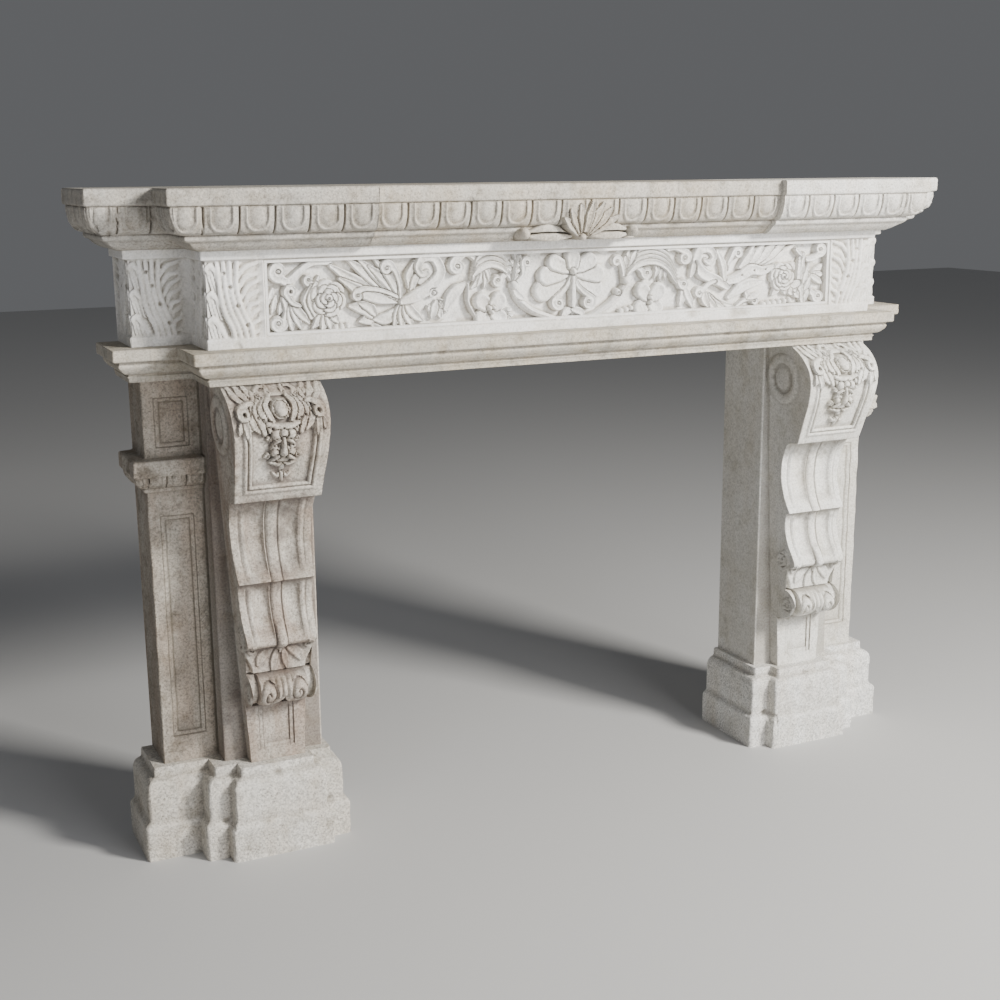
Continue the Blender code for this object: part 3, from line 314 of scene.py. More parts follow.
def curl(relief, centre, radius, start, turns, width, level, tail=(), hollow=0.28, eye=0.16):
    # a band that runs along its tail and winds in to an eye; negative turns wind clockwise
    share = np.linspace(0.0, 1.0, int(14 + 14 * abs(turns)))
    angle = start + 2 * math.pi * turns * share
    reach = (radius - width) * (1.0 - 0.72 * share)
    path = np.stack([centre[0] + reach * np.cos(angle), centre[1] + reach * np.sin(angle)], axis=1)
    half = width * (1.0 - 0.62 * share)
    if len(tail):
        lead = smoothPath(list(tail) + [path[0], path[1]], 6)[:-7]
        path = np.vstack([lead, path])
        half = np.concatenate([width * np.linspace(0.55, 1.0, len(lead)), half])
    relief.bud(centre, radius * 0.72, level * 0.5, shoulder=0.9)
    relief.band(path, half, (level * 0.85, level * 0.95, level, level * 0.9), hollow=hollow)
    if eye:
        relief.bud(centre, radius * eye, level * 0.9)


def petal(relief, foot, tip, width, level, hollow=0.35, ridge=0.0):
    # a broad leaf that stays wide to its tip
    foot, tip = np.array(foot), np.array(tip)
    relief.stroke([foot, (foot + tip) / 2, tip], (width * 0.4, width * 0.85, width),
                  (level * 0.7, level * 0.9, level), steps=4, hollow=hollow, ridge=ridge)


def blade(relief, foot, tip, width, level, bow=0.0, hollow=0.35, ridge=0.0):
    # a long leaf, widest in the middle and pointed at its tip; bow bends it to one side
    foot, tip = np.array(foot, float), np.array(tip, float)
    across = np.array([-(tip - foot)[1], (tip - foot)[0]])
    middle = (foot + tip) / 2 + across * bow
    relief.stroke([foot, middle, tip], (width * 0.45, width, width * 0.95, width * 0.25),
                  (level * 0.75, level * 0.9, level, level * 0.8), steps=8, hollow=hollow, ridge=ridge)


def acanthus(relief, spine, lobes, reach, width, level, spread=0.85, sides=(1, -1)):
    # hollow lobes from both sides of a spine, the ones nearer the tip over the ones behind
    path = smoothPath(spine, 6)
    for k in range(lobes):
        t = (k + 0.4) / lobes
        at = min(int(t * (len(path) - 1)), len(path) - 2)
        ahead = path[at + 1] - path[at]
        heading = math.atan2(ahead[1], ahead[0])
        size = reach * (0.62 + 0.38 * math.sin(math.pi * min(t + 0.2, 1.0)))
        for side in sides:
            out = heading + side * spread * (1.0 - 0.35 * t)
            middle = path[at] + 0.55 * size * np.array([math.cos(out - side * 0.3), math.sin(out - side * 0.3)])
            tip = path[at] + size * np.array([math.cos(out), math.sin(out)])
            relief.stroke([path[at], middle, tip], (width * 0.5, width, width * 0.85, width * 0.3),
                          (level * 0.7, level * 0.85, level * 0.9, level * 0.65), steps=4, hollow=0.38)
    relief.band(path, (width * 0.55, width * 0.7, width * 0.3), (level * 0.9, level, level * 0.85), ridge=0.08)


def rose(relief, centre, radius, level, turn=0.3):
    # cupped petals lying round one another, closing on a small whorl
    relief.bud(centre, radius * 0.96, level * 0.55, shoulder=0.8)
    rings = ((6, 0.78, 0.24, 0.66, 0.0, 0.95), (5, 0.56, 0.20, 0.80, 0.6, 1.1), (4, 0.34, 0.15, 0.92, 1.2, 1.3))
    for count, reach, half, height, twist, sweep in rings:
        for k in range(count):
            angles = turn + twist + 2 * math.pi * k / count + np.linspace(-sweep, sweep, 9) * 0.62
            swell = radius * reach * (1.0 + 0.10 * np.cos(np.linspace(-1.5, 1.5, 9)) + 0.05 * np.linspace(-1, 1, 9))
            arc = np.stack([centre[0] + swell * np.cos(angles), centre[1] + swell * np.sin(angles)], axis=1)
            relief.band(arc, (radius * half * 0.5, radius * half, radius * half, radius * half * 0.5),
                        (level * height * 0.92, level * height, level * height * 1.06), hollow=0.20)
    curl(relief, centre, radius * 0.26, turn, 1.2, radius * 0.09, level, hollow=0.1)


def berries(relief, start, stop, count, radius, level):
    for k in range(count):
        share = k / max(count - 1, 1)
        relief.bud((start[0] + (stop[0] - start[0]) * share, start[1] + (stop[1] - start[1]) * share),
                   radius * (1.1 - 0.25 * share), level)


def spread(field, rows, columns):
    # the field's mean over a small window
    for axis, half in ((0, rows), (1, columns)):
        pad = [(half + 1, half) if k == axis else (0, 0) for k in range(2)]
        total = np.cumsum(np.pad(field, pad, mode="edge"), axis=axis)
        size = field.shape[axis]
        high = np.take(total, np.arange(2 * half + 1, 2 * half + 1 + size), axis=axis)
        field = (high - np.take(total, np.arange(size), axis=axis)) / (2 * half + 1)
    return field


def hollows(standing, rows=5, columns=5, depth=0.004):
    # 1 in the bottom of a cut, -1 on an arris
    return np.clip((spread(standing, rows, columns) - standing) / depth, -1.0, 1.0)


# meshes
def settle(name, mesh, material, nodes):
    mesh.polygons.foreach_set("use_smooth", [True] * len(mesh.polygons))
    mesh.set_sharp_from_angle(angle=math.radians(58))
    # the level bed faces and the large back faces stay flat, so the worn arrises do not tint them
    mesh.polygons.foreach_set("use_smooth", [face.area < 1e-4 and abs(face.normal.z) < 0.9999
                                             for face in mesh.polygons])
    mesh.materials.append(material)
    piece = bpy.data.objects.new(name, mesh)
    bpy.context.scene.collection.objects.link(piece)
    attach(piece, "root")
    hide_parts(*nodes)
    return piece


def laidGrid(name, points, hollow):
    # a grid mesh laid over rows and columns of points, keeping how hollow each point is
    rows, columns = points.shape[0] - 1, points.shape[1] - 1
    mesh = bpy.data.meshes.new(name)
    bm = bmesh.new()
    bmesh.ops.create_grid(bm, x_segments=columns, y_segments=rows, size=1.0)
    bm.to_mesh(mesh)
    bm.free()
    mesh.vertices.foreach_set("co", points.reshape(-1))
    layer = mesh.attributes.new("hollow", "FLOAT", "POINT")
    layer.data.foreach_set("value", hollow.reshape(-1))
    return mesh


def wrapStone(name, points, hollow, material, nodes, side=1):
    # closes the rows of points into a ring, with a bed face below and above
    points = points * np.array([side, 1.0, 1.0])
    closed = np.concatenate([points, points[:, :1]], axis=1)
    # the hollow field carries dirt and painted shade in the cuts; it is cleared on the bed rows
    dirtAndShade = np.concatenate([hollow, hollow[:, :1]], axis=1)
    dirtAndShade[0] = dirtAndShade[-1] = 0.0
    mesh = laidGrid(name, closed, dirtAndShade)
    bm = bmesh.new()
    bm.from_mesh(mesh)
    bm.verts.ensure_lookup_table()
    width = closed.shape[1]
    seam = [bm.verts[row * width + k] for row in range(closed.shape[0]) for k in (0, width - 1)]
    bmesh.ops.remove_doubles(bm, verts=seam, dist=1e-5)
    middle = (closed[0, 0, 2] + closed[-1, 0, 2]) / 2
    rims = [edge for edge in bm.edges if edge.is_boundary]
    for below in (True, False):
        rim = [edge for edge in rims if (edge.verts[0].co.z < middle) == below]
        bmesh.ops.triangle_fill(bm, edges=rim, use_beauty=True, normal=(0.0, 0.0, -1.0 if below else 1.0))
    bmesh.ops.recalc_face_normals(bm, faces=bm.faces)
    bm.to_mesh(mesh)
    bm.free()
    return settle(name, mesh, material, nodes)


def faceOrder(face):
    # a number that depends on nothing but the face's first corners
    first, second, third = sorted(vert.index for vert in face.verts)[:3]
    return (first * 1e5 + second) * 1e5 + third


def reliefSlab(name, points, hollow, back, material, nodes):
    # a carved sheet closed behind by a flat back, its faces put in the same order each run
    mesh = laidGrid(name, points, hollow)
    bm = bmesh.new()
    bm.from_mesh(mesh)
    rims = [edge for edge in bm.edges if edge.is_boundary]
    walls = bmesh.ops.extrude_edge_only(bm, edges=rims)["geom"]
    for vert in walls:
        if isinstance(vert, bmesh.types.BMVert):
            vert.co.y = back
    bmesh.ops.holes_fill(bm, edges=[edge for edge in bm.edges if edge.is_boundary], sides=0)
    bmesh.ops.recalc_face_normals(bm, faces=bm.faces)
    bm.verts.index_update()
    bm.faces.sort(key=faceOrder)
    bm.to_mesh(mesh)
    bm.free()
    return settle(name, mesh, material, nodes)


# limestone
def place(tree, kind, values=None, **settings):
    # a new node with its settings, its sockets linked or given a value
    made = tree.nodes.new(kind)
    for key, value in settings.items():
        setattr(made, key, value)
    for key, value in (values or {}).items():
        if isinstance(value, bpy.types.NodeSocket):
            tree.links.new(value, made.inputs[key])
        else:
            made.inputs[key].default_value = value
    return made


def ramp(tree, source, stops):
    made = place(tree, "ShaderNodeValToRGB", {"Fac": source})
    first, last = made.color_ramp.elements[0], made.color_ramp.elements[1]
    first.position, last.position = stops[0][0], stops[-1][0]
    first.color, last.color = (stops[0][1],) * 3 + (1,), (stops[-1][1],) * 3 + (1,)
    for at, shade in stops[1:-1]:
        made.color_ramp.elements.new(at).color = (shade,) * 3 + (1,)
    return made.outputs["Color"]


def mathNode(tree, operation, a, b, clamp=False):
    return place(tree, "ShaderNodeMath", {0: a, 1: b}, operation=operation, use_clamp=clamp).outputs[0]


def mixColor(tree, share, a, b, blend="MIX"):
    made = place(tree, "ShaderNodeMix", {0: share, 6: a, 7: b}, data_type="RGBA", blend_type=blend)
    return made.outputs[2]


def limestoneGroup():
    # mottling, streaks, pores, and dirt with painted shade in the hollows, that every stone shares
    tree = bpy.data.node_groups.new("limestoneFace", "ShaderNodeTree")
    for label, kind in (("Coordinates", "Vector"), ("Hollow", "Float"), ("Body", "Color"), ("Pale", "Color"),
                        ("Grime And Shade", "Color"), ("Stain", "Color"), ("Stain Amount", "Float"),
                        ("Pore Amount", "Float"), ("Dirt And Shade Amount", "Float")):
        tree.interface.new_socket(name=label, in_out="INPUT", socket_type="NodeSocket" + kind)
    for label, kind in (("Color", "Color"), ("Roughness", "Float"), ("Height", "Float")):
        tree.interface.new_socket(name=label, in_out="OUTPUT", socket_type="NodeSocket" + kind)
    given = tree.nodes.new("NodeGroupInput").outputs
    at = given["Coordinates"]
    broad = place(tree, "ShaderNodeTexNoise", {"Vector": at, "Scale": 3.2, "Detail": 5.0, "Roughness": 0.6})
    cloud = place(tree, "ShaderNodeTexNoise", {"Vector": at, "Scale": 21.0, "Detail": 6.0, "Roughness": 0.65})
    grain = place(tree, "ShaderNodeTexNoise", {"Vector": at, "Scale": 190.0, "Detail": 5.0, "Roughness": 0.75})
    pits = place(tree, "ShaderNodeTexVoronoi", {"Vector": at, "Scale": 105.0, "Randomness": 1.0})
    fine = place(tree, "ShaderNodeTexVoronoi", {"Vector": at, "Scale": 260.0, "Randomness": 1.0})
    drawn = place(tree, "ShaderNodeMapping", {"Vector": at, "Scale": (9.0, 9.0, 1.3)})
    run = place(tree, "ShaderNodeTexNoise", {"Vector": drawn.outputs[0], "Scale": 1.6, "Detail": 6.0,
                                            "Roughness": 0.62})
    mottled = mixColor(tree, ramp(tree, broad.outputs["Fac"], [(0.36, 0.0), (0.64, 1.0)]),
                       given["Body"], given["Pale"])
    clouded = mixColor(tree, ramp(tree, cloud.outputs["Fac"], [(0.30, 0.0), (0.50, 0.0), (0.75, 0.5)]),
                       mottled, given["Pale"])
    clouded = mixColor(tree, ramp(tree, cloud.outputs["Fac"], [(0.28, 0.80), (0.49, 0.0), (0.9, 0.0)]),
                       clouded, given["Body"], "MULTIPLY")
    stained = mathNode(tree, "MULTIPLY", ramp(tree, run.outputs["Fac"], [(0.42, 0.0), (0.72, 1.0)]),
                       given["Stain Amount"], True)
    stained = mixColor(tree, stained, clouded, given["Stain"])
    blotch = place(tree, "ShaderNodeTexNoise", {"Vector": at, "Scale": 6.5, "Detail": 7.0, "Roughness": 0.62})
    blotch = ramp(tree, blotch.outputs["Fac"], [(0.53, 0.0), (0.74, 0.65)])
    heavy = mathNode(tree, "POWER", given["Stain Amount"], 2.2)
    stained = mixColor(tree, mathNode(tree, "MULTIPLY", blotch, heavy, True), stained, given["Stain"])
    speck = ramp(tree, grain.outputs["Fac"], [(0.36, 0.50), (0.50, 0.95), (0.63, 1.20)])
    speck = mixColor(tree, given["Pore Amount"], (1.0, 1.0, 1.0, 1.0), speck)
    stained = mixColor(tree, 1.0, stained, speck, "MULTIPLY")
    sparse = ramp(tree, cloud.outputs["Fac"], [(0.42, 0.15), (0.62, 1.0)])
    pit = ramp(tree, pits.outputs["Distance"], [(0.09, 1.0), (0.24, 0.0)])
    pit = mathNode(tree, "MULTIPLY", pit, sparse, True)
    dot = ramp(tree, fine.outputs["Distance"], [(0.14, 0.7), (0.34, 0.0)])
    pore = mathNode(tree, "MULTIPLY", mathNode(tree, "ADD", pit, dot, True), given["Pore Amount"], True)
    pored = mixColor(tree, mathNode(tree, "MULTIPLY", pore, 0.62, True), stained, given["Grime And Shade"])
    # dirt and painted shade: the bottoms of cuts and grooves are darkened towards the grime colour
    sunk = mathNode(tree, "MULTIPLY", given["Hollow"], 1.0, True)
    uneven = ramp(tree, cloud.outputs["Fac"], [(0.25, 0.55), (0.7, 1.0)])
    dirtAndShade = mathNode(tree, "MULTIPLY", mathNode(tree, "MULTIPLY", sunk, uneven), given["Dirt And Shade Amount"], True)
    dirtiedAndShaded = mixColor(tree, dirtAndShade, pored, given["Grime And Shade"])
    arris = mathNode(tree, "MULTIPLY", given["Hollow"], -0.45, True)
    rubbed = mixColor(tree, arris, dirtiedAndShaded, given["Pale"])
    result = tree.nodes.new("NodeGroupOutput")
    tree.links.new(rubbed, result.inputs["Color"])
    rough = mathNode(tree, "ADD", mathNode(tree, "MULTIPLY", grain.outputs["Fac"], 0.16), 0.76, True)
    tree.links.new(rough, result.inputs["Roughness"])
    low = mathNode(tree, "MULTIPLY", pore, -0.9)
    swell = mathNode(tree, "ADD", mathNode(tree, "MULTIPLY", grain.outputs["Fac"], 0.45),
                     mathNode(tree, "MULTIPLY", cloud.outputs["Fac"], 0.9))
    tree.links.new(mathNode(tree, "ADD", low, swell), result.inputs["Height"])
    return tree


limestoneFace = limestoneGroup()


def limestone(name, look, shift):
    material = bpy.data.materials.new(name)
    material.use_nodes = True
    tree = material.node_tree
    shader = tree.nodes["Principled BSDF"]
    here = place(tree, "ShaderNodeTexCoord").outputs["Object"]
    moved = place(tree, "ShaderNodeMapping", {"Vector": here, "Location": shift}).outputs[0]
    hollow = place(tree, "ShaderNodeAttribute", attribute_name="hollow").outputs["Fac"]
    face = place(tree, "ShaderNodeGroup", node_tree=limestoneFace)
    tree.links.new(moved, face.inputs["Coordinates"])
    tree.links.new(hollow, face.inputs["Hollow"])
    for label in ("Body", "Pale", "Grime And Shade", "Stain"):
        face.inputs[label].default_value = (*look[label], 1.0)
    for label in ("Stain Amount", "Pore Amount", "Dirt And Shade Amount"):
        face.inputs[label].default_value = look[label]
    tree.links.new(face.outputs["Color"], shader.inputs["Base Color"])
    tree.links.new(face.outputs["Roughness"], shader.inputs["Roughness"])
    bump = place(tree, "ShaderNodeBump", {"Height": face.outputs["Height"], "Strength": look["Bump"],
                                          "Distance": 0.0014})
    tree.links.new(bump.outputs[0], shader.inputs["Normal"])
    shader.inputs["Specular IOR Level"].default_value = 0.25
    return material


stoneLooks = {
    "frieze": {"Body": (0.7, 0.69, 0.655), "Pale": (0.82, 0.815, 0.8), "Grime And Shade": (0.30, 0.26, 0.20),
               "Stain": (0.68, 0.60, 0.46), "Stain Amount": 0.30, "Pore Amount": 0.45, "Dirt And Shade Amount": 0.70,
               "Bump": 0.3},
    "shelfLeft": {"Body": (0.38, 0.36, 0.32), "Pale": (0.50, 0.48, 0.44), "Grime And Shade": (0.12, 0.10, 0.08),
                  "Stain": (0.50, 0.43, 0.33), "Stain Amount": 0.45, "Pore Amount": 0.8, "Dirt And Shade Amount": 0.95,
                  "Bump": 0.5},
    "shelfCentre": {"Body": (0.43, 0.40, 0.345), "Pale": (0.55, 0.525, 0.475), "Grime And Shade": (0.12, 0.10, 0.07),
                    "Stain": (0.47, 0.38, 0.26), "Stain Amount": 0.5, "Pore Amount": 0.75, "Dirt And Shade Amount": 0.95,
                    "Bump": 0.5},
    "shelfRight": {"Body": (0.63, 0.61, 0.56), "Pale": (0.77, 0.76, 0.73), "Grime And Shade": (0.13, 0.11, 0.09),
                   "Stain": (0.54, 0.47, 0.36), "Stain Amount": 0.4, "Pore Amount": 0.75, "Dirt And Shade Amount": 0.9,
                   "Bump": 0.5},
    "architrave": {"Body": (0.39, 0.365, 0.31), "Pale": (0.53, 0.505, 0.45), "Grime And Shade": (0.14, 0.11, 0.08),
                   "Stain": (0.50, 0.42, 0.30), "Stain Amount": 0.55, "Pore Amount": 0.7, "Dirt And Shade Amount": 0.9,
                   "Bump": 0.45},
    "jambLeft": {"Body": (0.41, 0.37, 0.31), "Pale": (0.58, 0.55, 0.49), "Grime And Shade": (0.10, 0.08, 0.07),
                 "Stain": (0.28, 0.20, 0.15), "Stain Amount": 0.85, "Pore Amount": 0.9, "Dirt And Shade Amount": 0.95,
                 "Bump": 0.6},
    "jambRight": {"Body": (0.66, 0.645, 0.59), "Pale": (0.8, 0.795, 0.76), "Grime And Shade": (0.16, 0.14, 0.11),
                  "Stain": (0.60, 0.54, 0.44), "Stain Amount": 0.35, "Pore Amount": 0.6, "Dirt And Shade Amount": 0.9,
                  "Bump": 0.5},
    # painted shade: the left pilaster is set darker, partly its own brown staining and partly the console's shadow
    # over its panel
    "pilasterLeft": {"Body": (0.30, 0.268, 0.22), "Pale": (0.43, 0.395, 0.34), "Grime And Shade": (0.08, 0.07, 0.05),
                     "Stain": (0.29, 0.22, 0.165), "Stain Amount": 0.7, "Pore Amount": 0.9, "Dirt And Shade Amount": 1.0,
                     "Bump": 0.6},
    "pilasterRight": {"Body": (0.58, 0.56, 0.5), "Pale": (0.71, 0.695, 0.65), "Grime And Shade": (0.14, 0.12, 0.09),
                      "Stain": (0.56, 0.49, 0.39), "Stain Amount": 0.4, "Pore Amount": 0.7, "Dirt And Shade Amount": 0.9,
                      "Bump": 0.5},
    "plinthLeft": {"Body": (0.53, 0.505, 0.45), "Pale": (0.66, 0.64, 0.59), "Grime And Shade": (0.16, 0.14, 0.11),
                   "Stain": (0.50, 0.43, 0.34), "Stain Amount": 0.5, "Pore Amount": 1.0, "Dirt And Shade Amount": 0.9,
                   "Bump": 0.7},
    "plinthRight": {"Body": (0.67, 0.665, 0.635), "Pale": (0.8, 0.8, 0.775), "Grime And Shade": (0.17, 0.15, 0.12),
                    "Stain": (0.56, 0.49, 0.39), "Stain Amount": 0.45, "Pore Amount": 1.0, "Dirt And Shade Amount": 0.9,
                    "Bump": 0.7},
}
stones = {name: limestone(name, look, (0.37 * k, 1.3 - 0.61 * k, 0.53 * k))
          for k, (name, look) in enumerate(stoneLooks.items())}
print("stage: limestone mixed")


# plain stones: wear near the beds, dark joints with painted shadow along the beds, and how far the rough face lies
# back
wear = {"bed": 0.004, "joint": 0.0022, "back": 2.2, "wave": 0.05, "ripple": 0.013, "rippleShare": 0.6}


def chipped(points, bites):
    # how far each point is knocked back by chips, each (x, z, radius, depth)
    loss = np.zeros(points.shape[:2])
    for x, z, radius, depth in bites:
        apart = np.hypot(points[:, :, 0] - x, points[:, :, 2] - z) / radius
        ragged = 1.0 + 0.25 * unevenness(points[:, :, 0], points[:, :, 1], points[:, :, 2], 0.012, 5)
        loss = np.maximum(loss, depth * np.clip(1.0 - (apart * ragged) ** 2, 0, 1))
    return loss


def plainStone(name, plan, rows, seed, side, material, nodes, relief=None, rough=0.0006, bites=(),
               grimeAndShade=None):
    # a stone of the given plan and profile; relief, and grime with painted shade, are fields over its rows and
    # columns
    smooth = plan.grid(rows)
    x, y, z = smooth[:, :, 0] * side, smooth[:, :, 1], smooth[:, :, 2]
    wave = rough * unevenness(x, y, z, wear["wave"], seed)
    wave += rough * wear["rippleShare"] * unevenness(x, y, z, wear["ripple"], seed + 3)
    standing = np.zeros(wave.shape) if relief is None else relief
    if bites:
        standing = standing - chipped(smooth * np.array([side, 1.0, 1.0]), bites)
    fromBed = np.minimum(rows[:, 0] - rows[0, 0], rows[-1, 0] - rows[:, 0])[:, None]
    points = plan.grid(rows, standing + (wave - wear["back"] * rough) * gentle(0.0, wear["bed"], fromBed))
    # painted shadow: the rows next to each bed are darkened as a dark joint and as the shadow under an overhang
    hollow = np.maximum(hollows(standing - rows[:, 1:2], 4, 3), 1.0 - fromBed / wear["joint"])
    if grimeAndShade is not None:
        hollow = np.maximum(hollow, grimeAndShade)
    return wrapStone(name, points, hollow, material, nodes, side)


# plinths
plinth = {"inner": 0.567, "step": 0.051, "block": 0.243, "outerStep": 0.052, "outer": 1.0373,
          "reach": 0.266, "stepReach": 0.232, "endReach": 0.176, "worn": 0.007}


def buildPlinths():
    p = plinth
    blockStart = p["inner"] + p["step"]
    blockStop = blockStart + p["block"]
    stepStop = blockStop + p["outerStep"]
    corners = [(p["inner"], 0.0), (p["inner"], p["stepReach"]), (blockStart, p["stepReach"]),
               (blockStart, p["reach"]), (blockStop, p["reach"]), (blockStop, p["stepReach"]),
               (stepStop, p["stepReach"]), (stepStop, p["endReach"]), (p["outer"], p["endReach"]),
               (p["outer"], 0.0)]
    cuts = [evenCuts(0, length, 0.007) for length in edgeLengths(corners)]
    plan = StonePlan(corners, cuts, worn=p["worn"], seed=4)
    shoulder = [(0.165 + 0.023 * math.sin(t), 0.012 + 0.018 * (1 - math.cos(t)))
                for t in np.linspace(0, math.pi / 2, 8)]
    path = [(0.0, 0.0015), (0.003, 0.0), (0.081, 0.0), (0.0845, 0.004), (0.088, 0.0095), (0.093, 0.012)]
    path += shoulder + [(0.1885, 0.0325), (0.207, 0.033), (0.211, 0.035)]
    rows = wornProfile(path, 0.0026, 3)
    for side, hand, title in pair:
        bites = [(side * 0.862, 0.086, 0.010, 0.005), (side * 0.62, 0.085, 0.016, 0.007),
                 (side * 0.74, 0.188, 0.012, 0.003)]
        plainStone(f"plinth_{hand}_stone", plan, rows, 7 + side, side, stones["plinth" + title],
                   [f"plinth_{hand}"], bites=bites, rough=0.0006)


buildPlinths()
print("stage: plinths laid")


# jambs with their scroll consoles
console = {"x": 0.7315, "inner": 0.614, "outer": 0.849, "face": 0.208, "margin": 0.174,
           "nearEdge": np.array([0.0013, 0.0028, 0.0048]), "topHalf": 0.110, "footHalf": 0.064,
           "flute": 0.011, "fluteAt": 0.42, "fluteHalf": 0.23,
           "ribHalf": 0.115, "footPanelHalf": 0.036, "footPanelTop": 0.345, "footPanelBottom": 0.240,
           "stains": ((-0.046, 0.266, 0.020, 0.55), (-0.034, 0.300, 0.026, 0.60), (-0.022, 0.345, 0.024, 0.50),
                      (-0.052, 0.405, 0.030, 0.35), (-0.018, 0.420, 0.018, 0.45), (0.050, 0.268, 0.026, 0.45),
                      (0.060, 0.350, 0.022, 0.35), (-0.060, 0.330, 0.020, 0.30), (0.030, 0.410, 0.020, 0.30),
                      (-0.030, 0.465, 0.016, 0.40), (0.062, 0.455, 0.022, 0.45)),
           # painted shade: the cheek amount darkens the right jamb's inner cheek, which faces away from the light
           "cheekShade": 0.22, "tiers": ((0.2535, 0.4435), (0.4455, 0.590)),
           # each lip: where it lies and how far the painted shadow under it fades
           "lips": ((0.2535, 0.030), (0.4455, 0.018), (0.592, 0.007), (0.656, 0.006), (0.7435, 0.014))}


def consoleShapes():
    # stand of the front beyond the raised face against the drop from the top, one list for each form
    return [
        [(0.0, 0.070), (0.006, 0.077), (0.018, 0.100), (0.031, 0.118), (0.053, 0.138), (0.074, 0.147),
         (0.099, 0.149), (0.141, 0.140), (0.189, 0.120), (0.240, 0.099), (0.2515, 0.093)],
        [(0.2535, 0.066), (0.262, 0.051), (0.276, 0.042), (0.294, 0.033), (0.319, 0.026), (0.359, 0.024),
         (0.399, 0.034), (0.425, 0.047), (0.441, 0.058), (0.4435, 0.056)],
        [(0.4455, 0.048), (0.458, 0.042), (0.487, 0.038), (0.526, 0.049), (0.550, 0.064), (0.567, 0.075),
         (0.580, 0.078), (0.588, 0.070)],
        [(0.594, 0.054), (0.606, 0.047), (0.625, 0.043), (0.640, 0.041), (0.654, 0.040)],
        [(0.6565, 0.034), (0.659, 0.050), (0.668, 0.066), (0.680, 0.076), (0.694, 0.079), (0.708, 0.073),
         (0.722, 0.060), (0.732, 0.042), (0.739, 0.022), (0.743, 0.0)],
    ]


def consoleRows(step):
    # heights of the rows from the foot up, and how far the front stands out at each
    top = courses["leg"][1]
    rows = []
    for shape in consoleShapes():
        rows += [(top - drop, stand) for drop, stand in evenly(smoothPath(shape, 6), step)]
    foot = rows[-1][0]
    steps = (0.0, 0.0015, 0.009, 0.0105)    # the two steps at the rim of the sunk panel
    panel = [console["footPanelTop"] - s for s in steps] + [console["footPanelBottom"] + s for s in steps]
    plain = mixCuts(panel + [courses["leg"][0] + 0.001], evenCuts(courses["leg"][0], foot, 0.004), 0.0012)
    rows += [(z, 0.0) for z in plain[::-1]] + [(courses["leg"][0], 0.0)]
    rows = np.array(rows[::-1])
    rows[:, 0] = np.minimum(np.maximum.accumulate(rows[:, 0] + np.arange(len(rows)) * 1e-7), top)
    return rows[:, 0], rows[:, 1]


